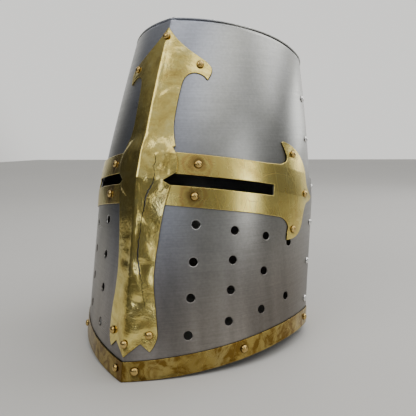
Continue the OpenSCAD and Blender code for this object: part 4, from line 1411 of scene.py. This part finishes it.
def softbox(name, azimuth, elevation, width, height, watts, colour=(1, 1, 1), distance=1.5):
    """A rectangular studio light that faces the helm."""
    data = bpy.data.lights.new(name, "AREA")
    data.shape = "RECTANGLE"
    data.size, data.size_y = width, height
    data.energy = watts
    data.color = colour
    light = bpy.data.objects.new(name, data)
    bpy.context.scene.collection.objects.link(light)
    light.location = LIT_POINT + toward(azimuth, elevation) * distance
    light.rotation_euler = (light.location - LIT_POINT).to_track_quat("Z", "Y").to_euler()


softbox("key", 66, 50, 0.9, 0.6, 2.2, WARM_WHITE)
softbox("side", 134, 41, 1.2, 0.8, 6.5, WARM_WHITE)
softbox("ridge_light", -22, 42, 0.9, 1.1, 6.0, WARM_WHITE)
softbox("near_strip", 30, 14, 0.10, 0.7, 0.6, COOL_WHITE)
softbox("right_strip", 78, 14, 0.30, 0.8, 2.2)
softbox("rim_light", 150, 66, 0.7, 0.5, 3.0)
softbox("arm_light", 148, 12, 0.6, 0.3, 1.4)
softbox("top", 20, 80, 1.0, 1.0, 3.0, distance=1.7)


def studio(backdrop, overhead, horizon, shaded):
    """A room with a pale backdrop behind the helm, dimmer at the horizon and on the wearer's right."""
    world = bpy.data.worlds.new("studio")
    bpy.context.scene.world = world
    world.use_nodes = True
    room = Nodes(world.node_tree, "Generated")

    def facing(azimuth, elevation, low, high, at_low, at_high):
        dot = room.against("DOT_PRODUCT", toward(azimuth, elevation))
        return room.span(dot, low, high, at_low, at_high)

    height = facing(0, 90, 0.28, 0.74, horizon, overhead)
    shade = facing(-80, 10, -0.1, 0.6, 1.0, shaded)
    behind = facing(190, 20, 0.55, 0.8, 0.0, backdrop)
    background = world.node_tree.nodes["Background"]
    room.put(background.inputs["Strength"], room.math("MAXIMUM", room.times(height, shade), behind))
    room.put(background.inputs["Color"], (0.985, 0.975, 0.94))


studio(backdrop=1.08, overhead=0.60, horizon=0.11, shaded=0.45)

CAMERA_AT = Vector((0.2121, -0.4533, 0.1901))
CAMERA_RIGHT = Vector((0.91395, 0.40532, -0.01889))
CAMERA_BACK = Vector((0.40384, -0.90411, 0.13967))
CAMERA_LENS = 41.33
eye = bpy.data.cameras.new("camera")
eye.lens = CAMERA_LENS
eye.sensor_width = 36
eye.clip_start = 20 * MM
camera = bpy.data.objects.new("camera", eye)
bpy.context.scene.collection.objects.link(camera)
right = CAMERA_RIGHT.normalized()
back = (CAMERA_BACK - right * CAMERA_BACK.dot(right)).normalized()
rotation = Matrix((right, back.cross(right), back)).transposed()
camera.matrix_world = Matrix.Translation(CAMERA_AT) @ rotation.to_4x4()
bpy.context.scene.camera = camera
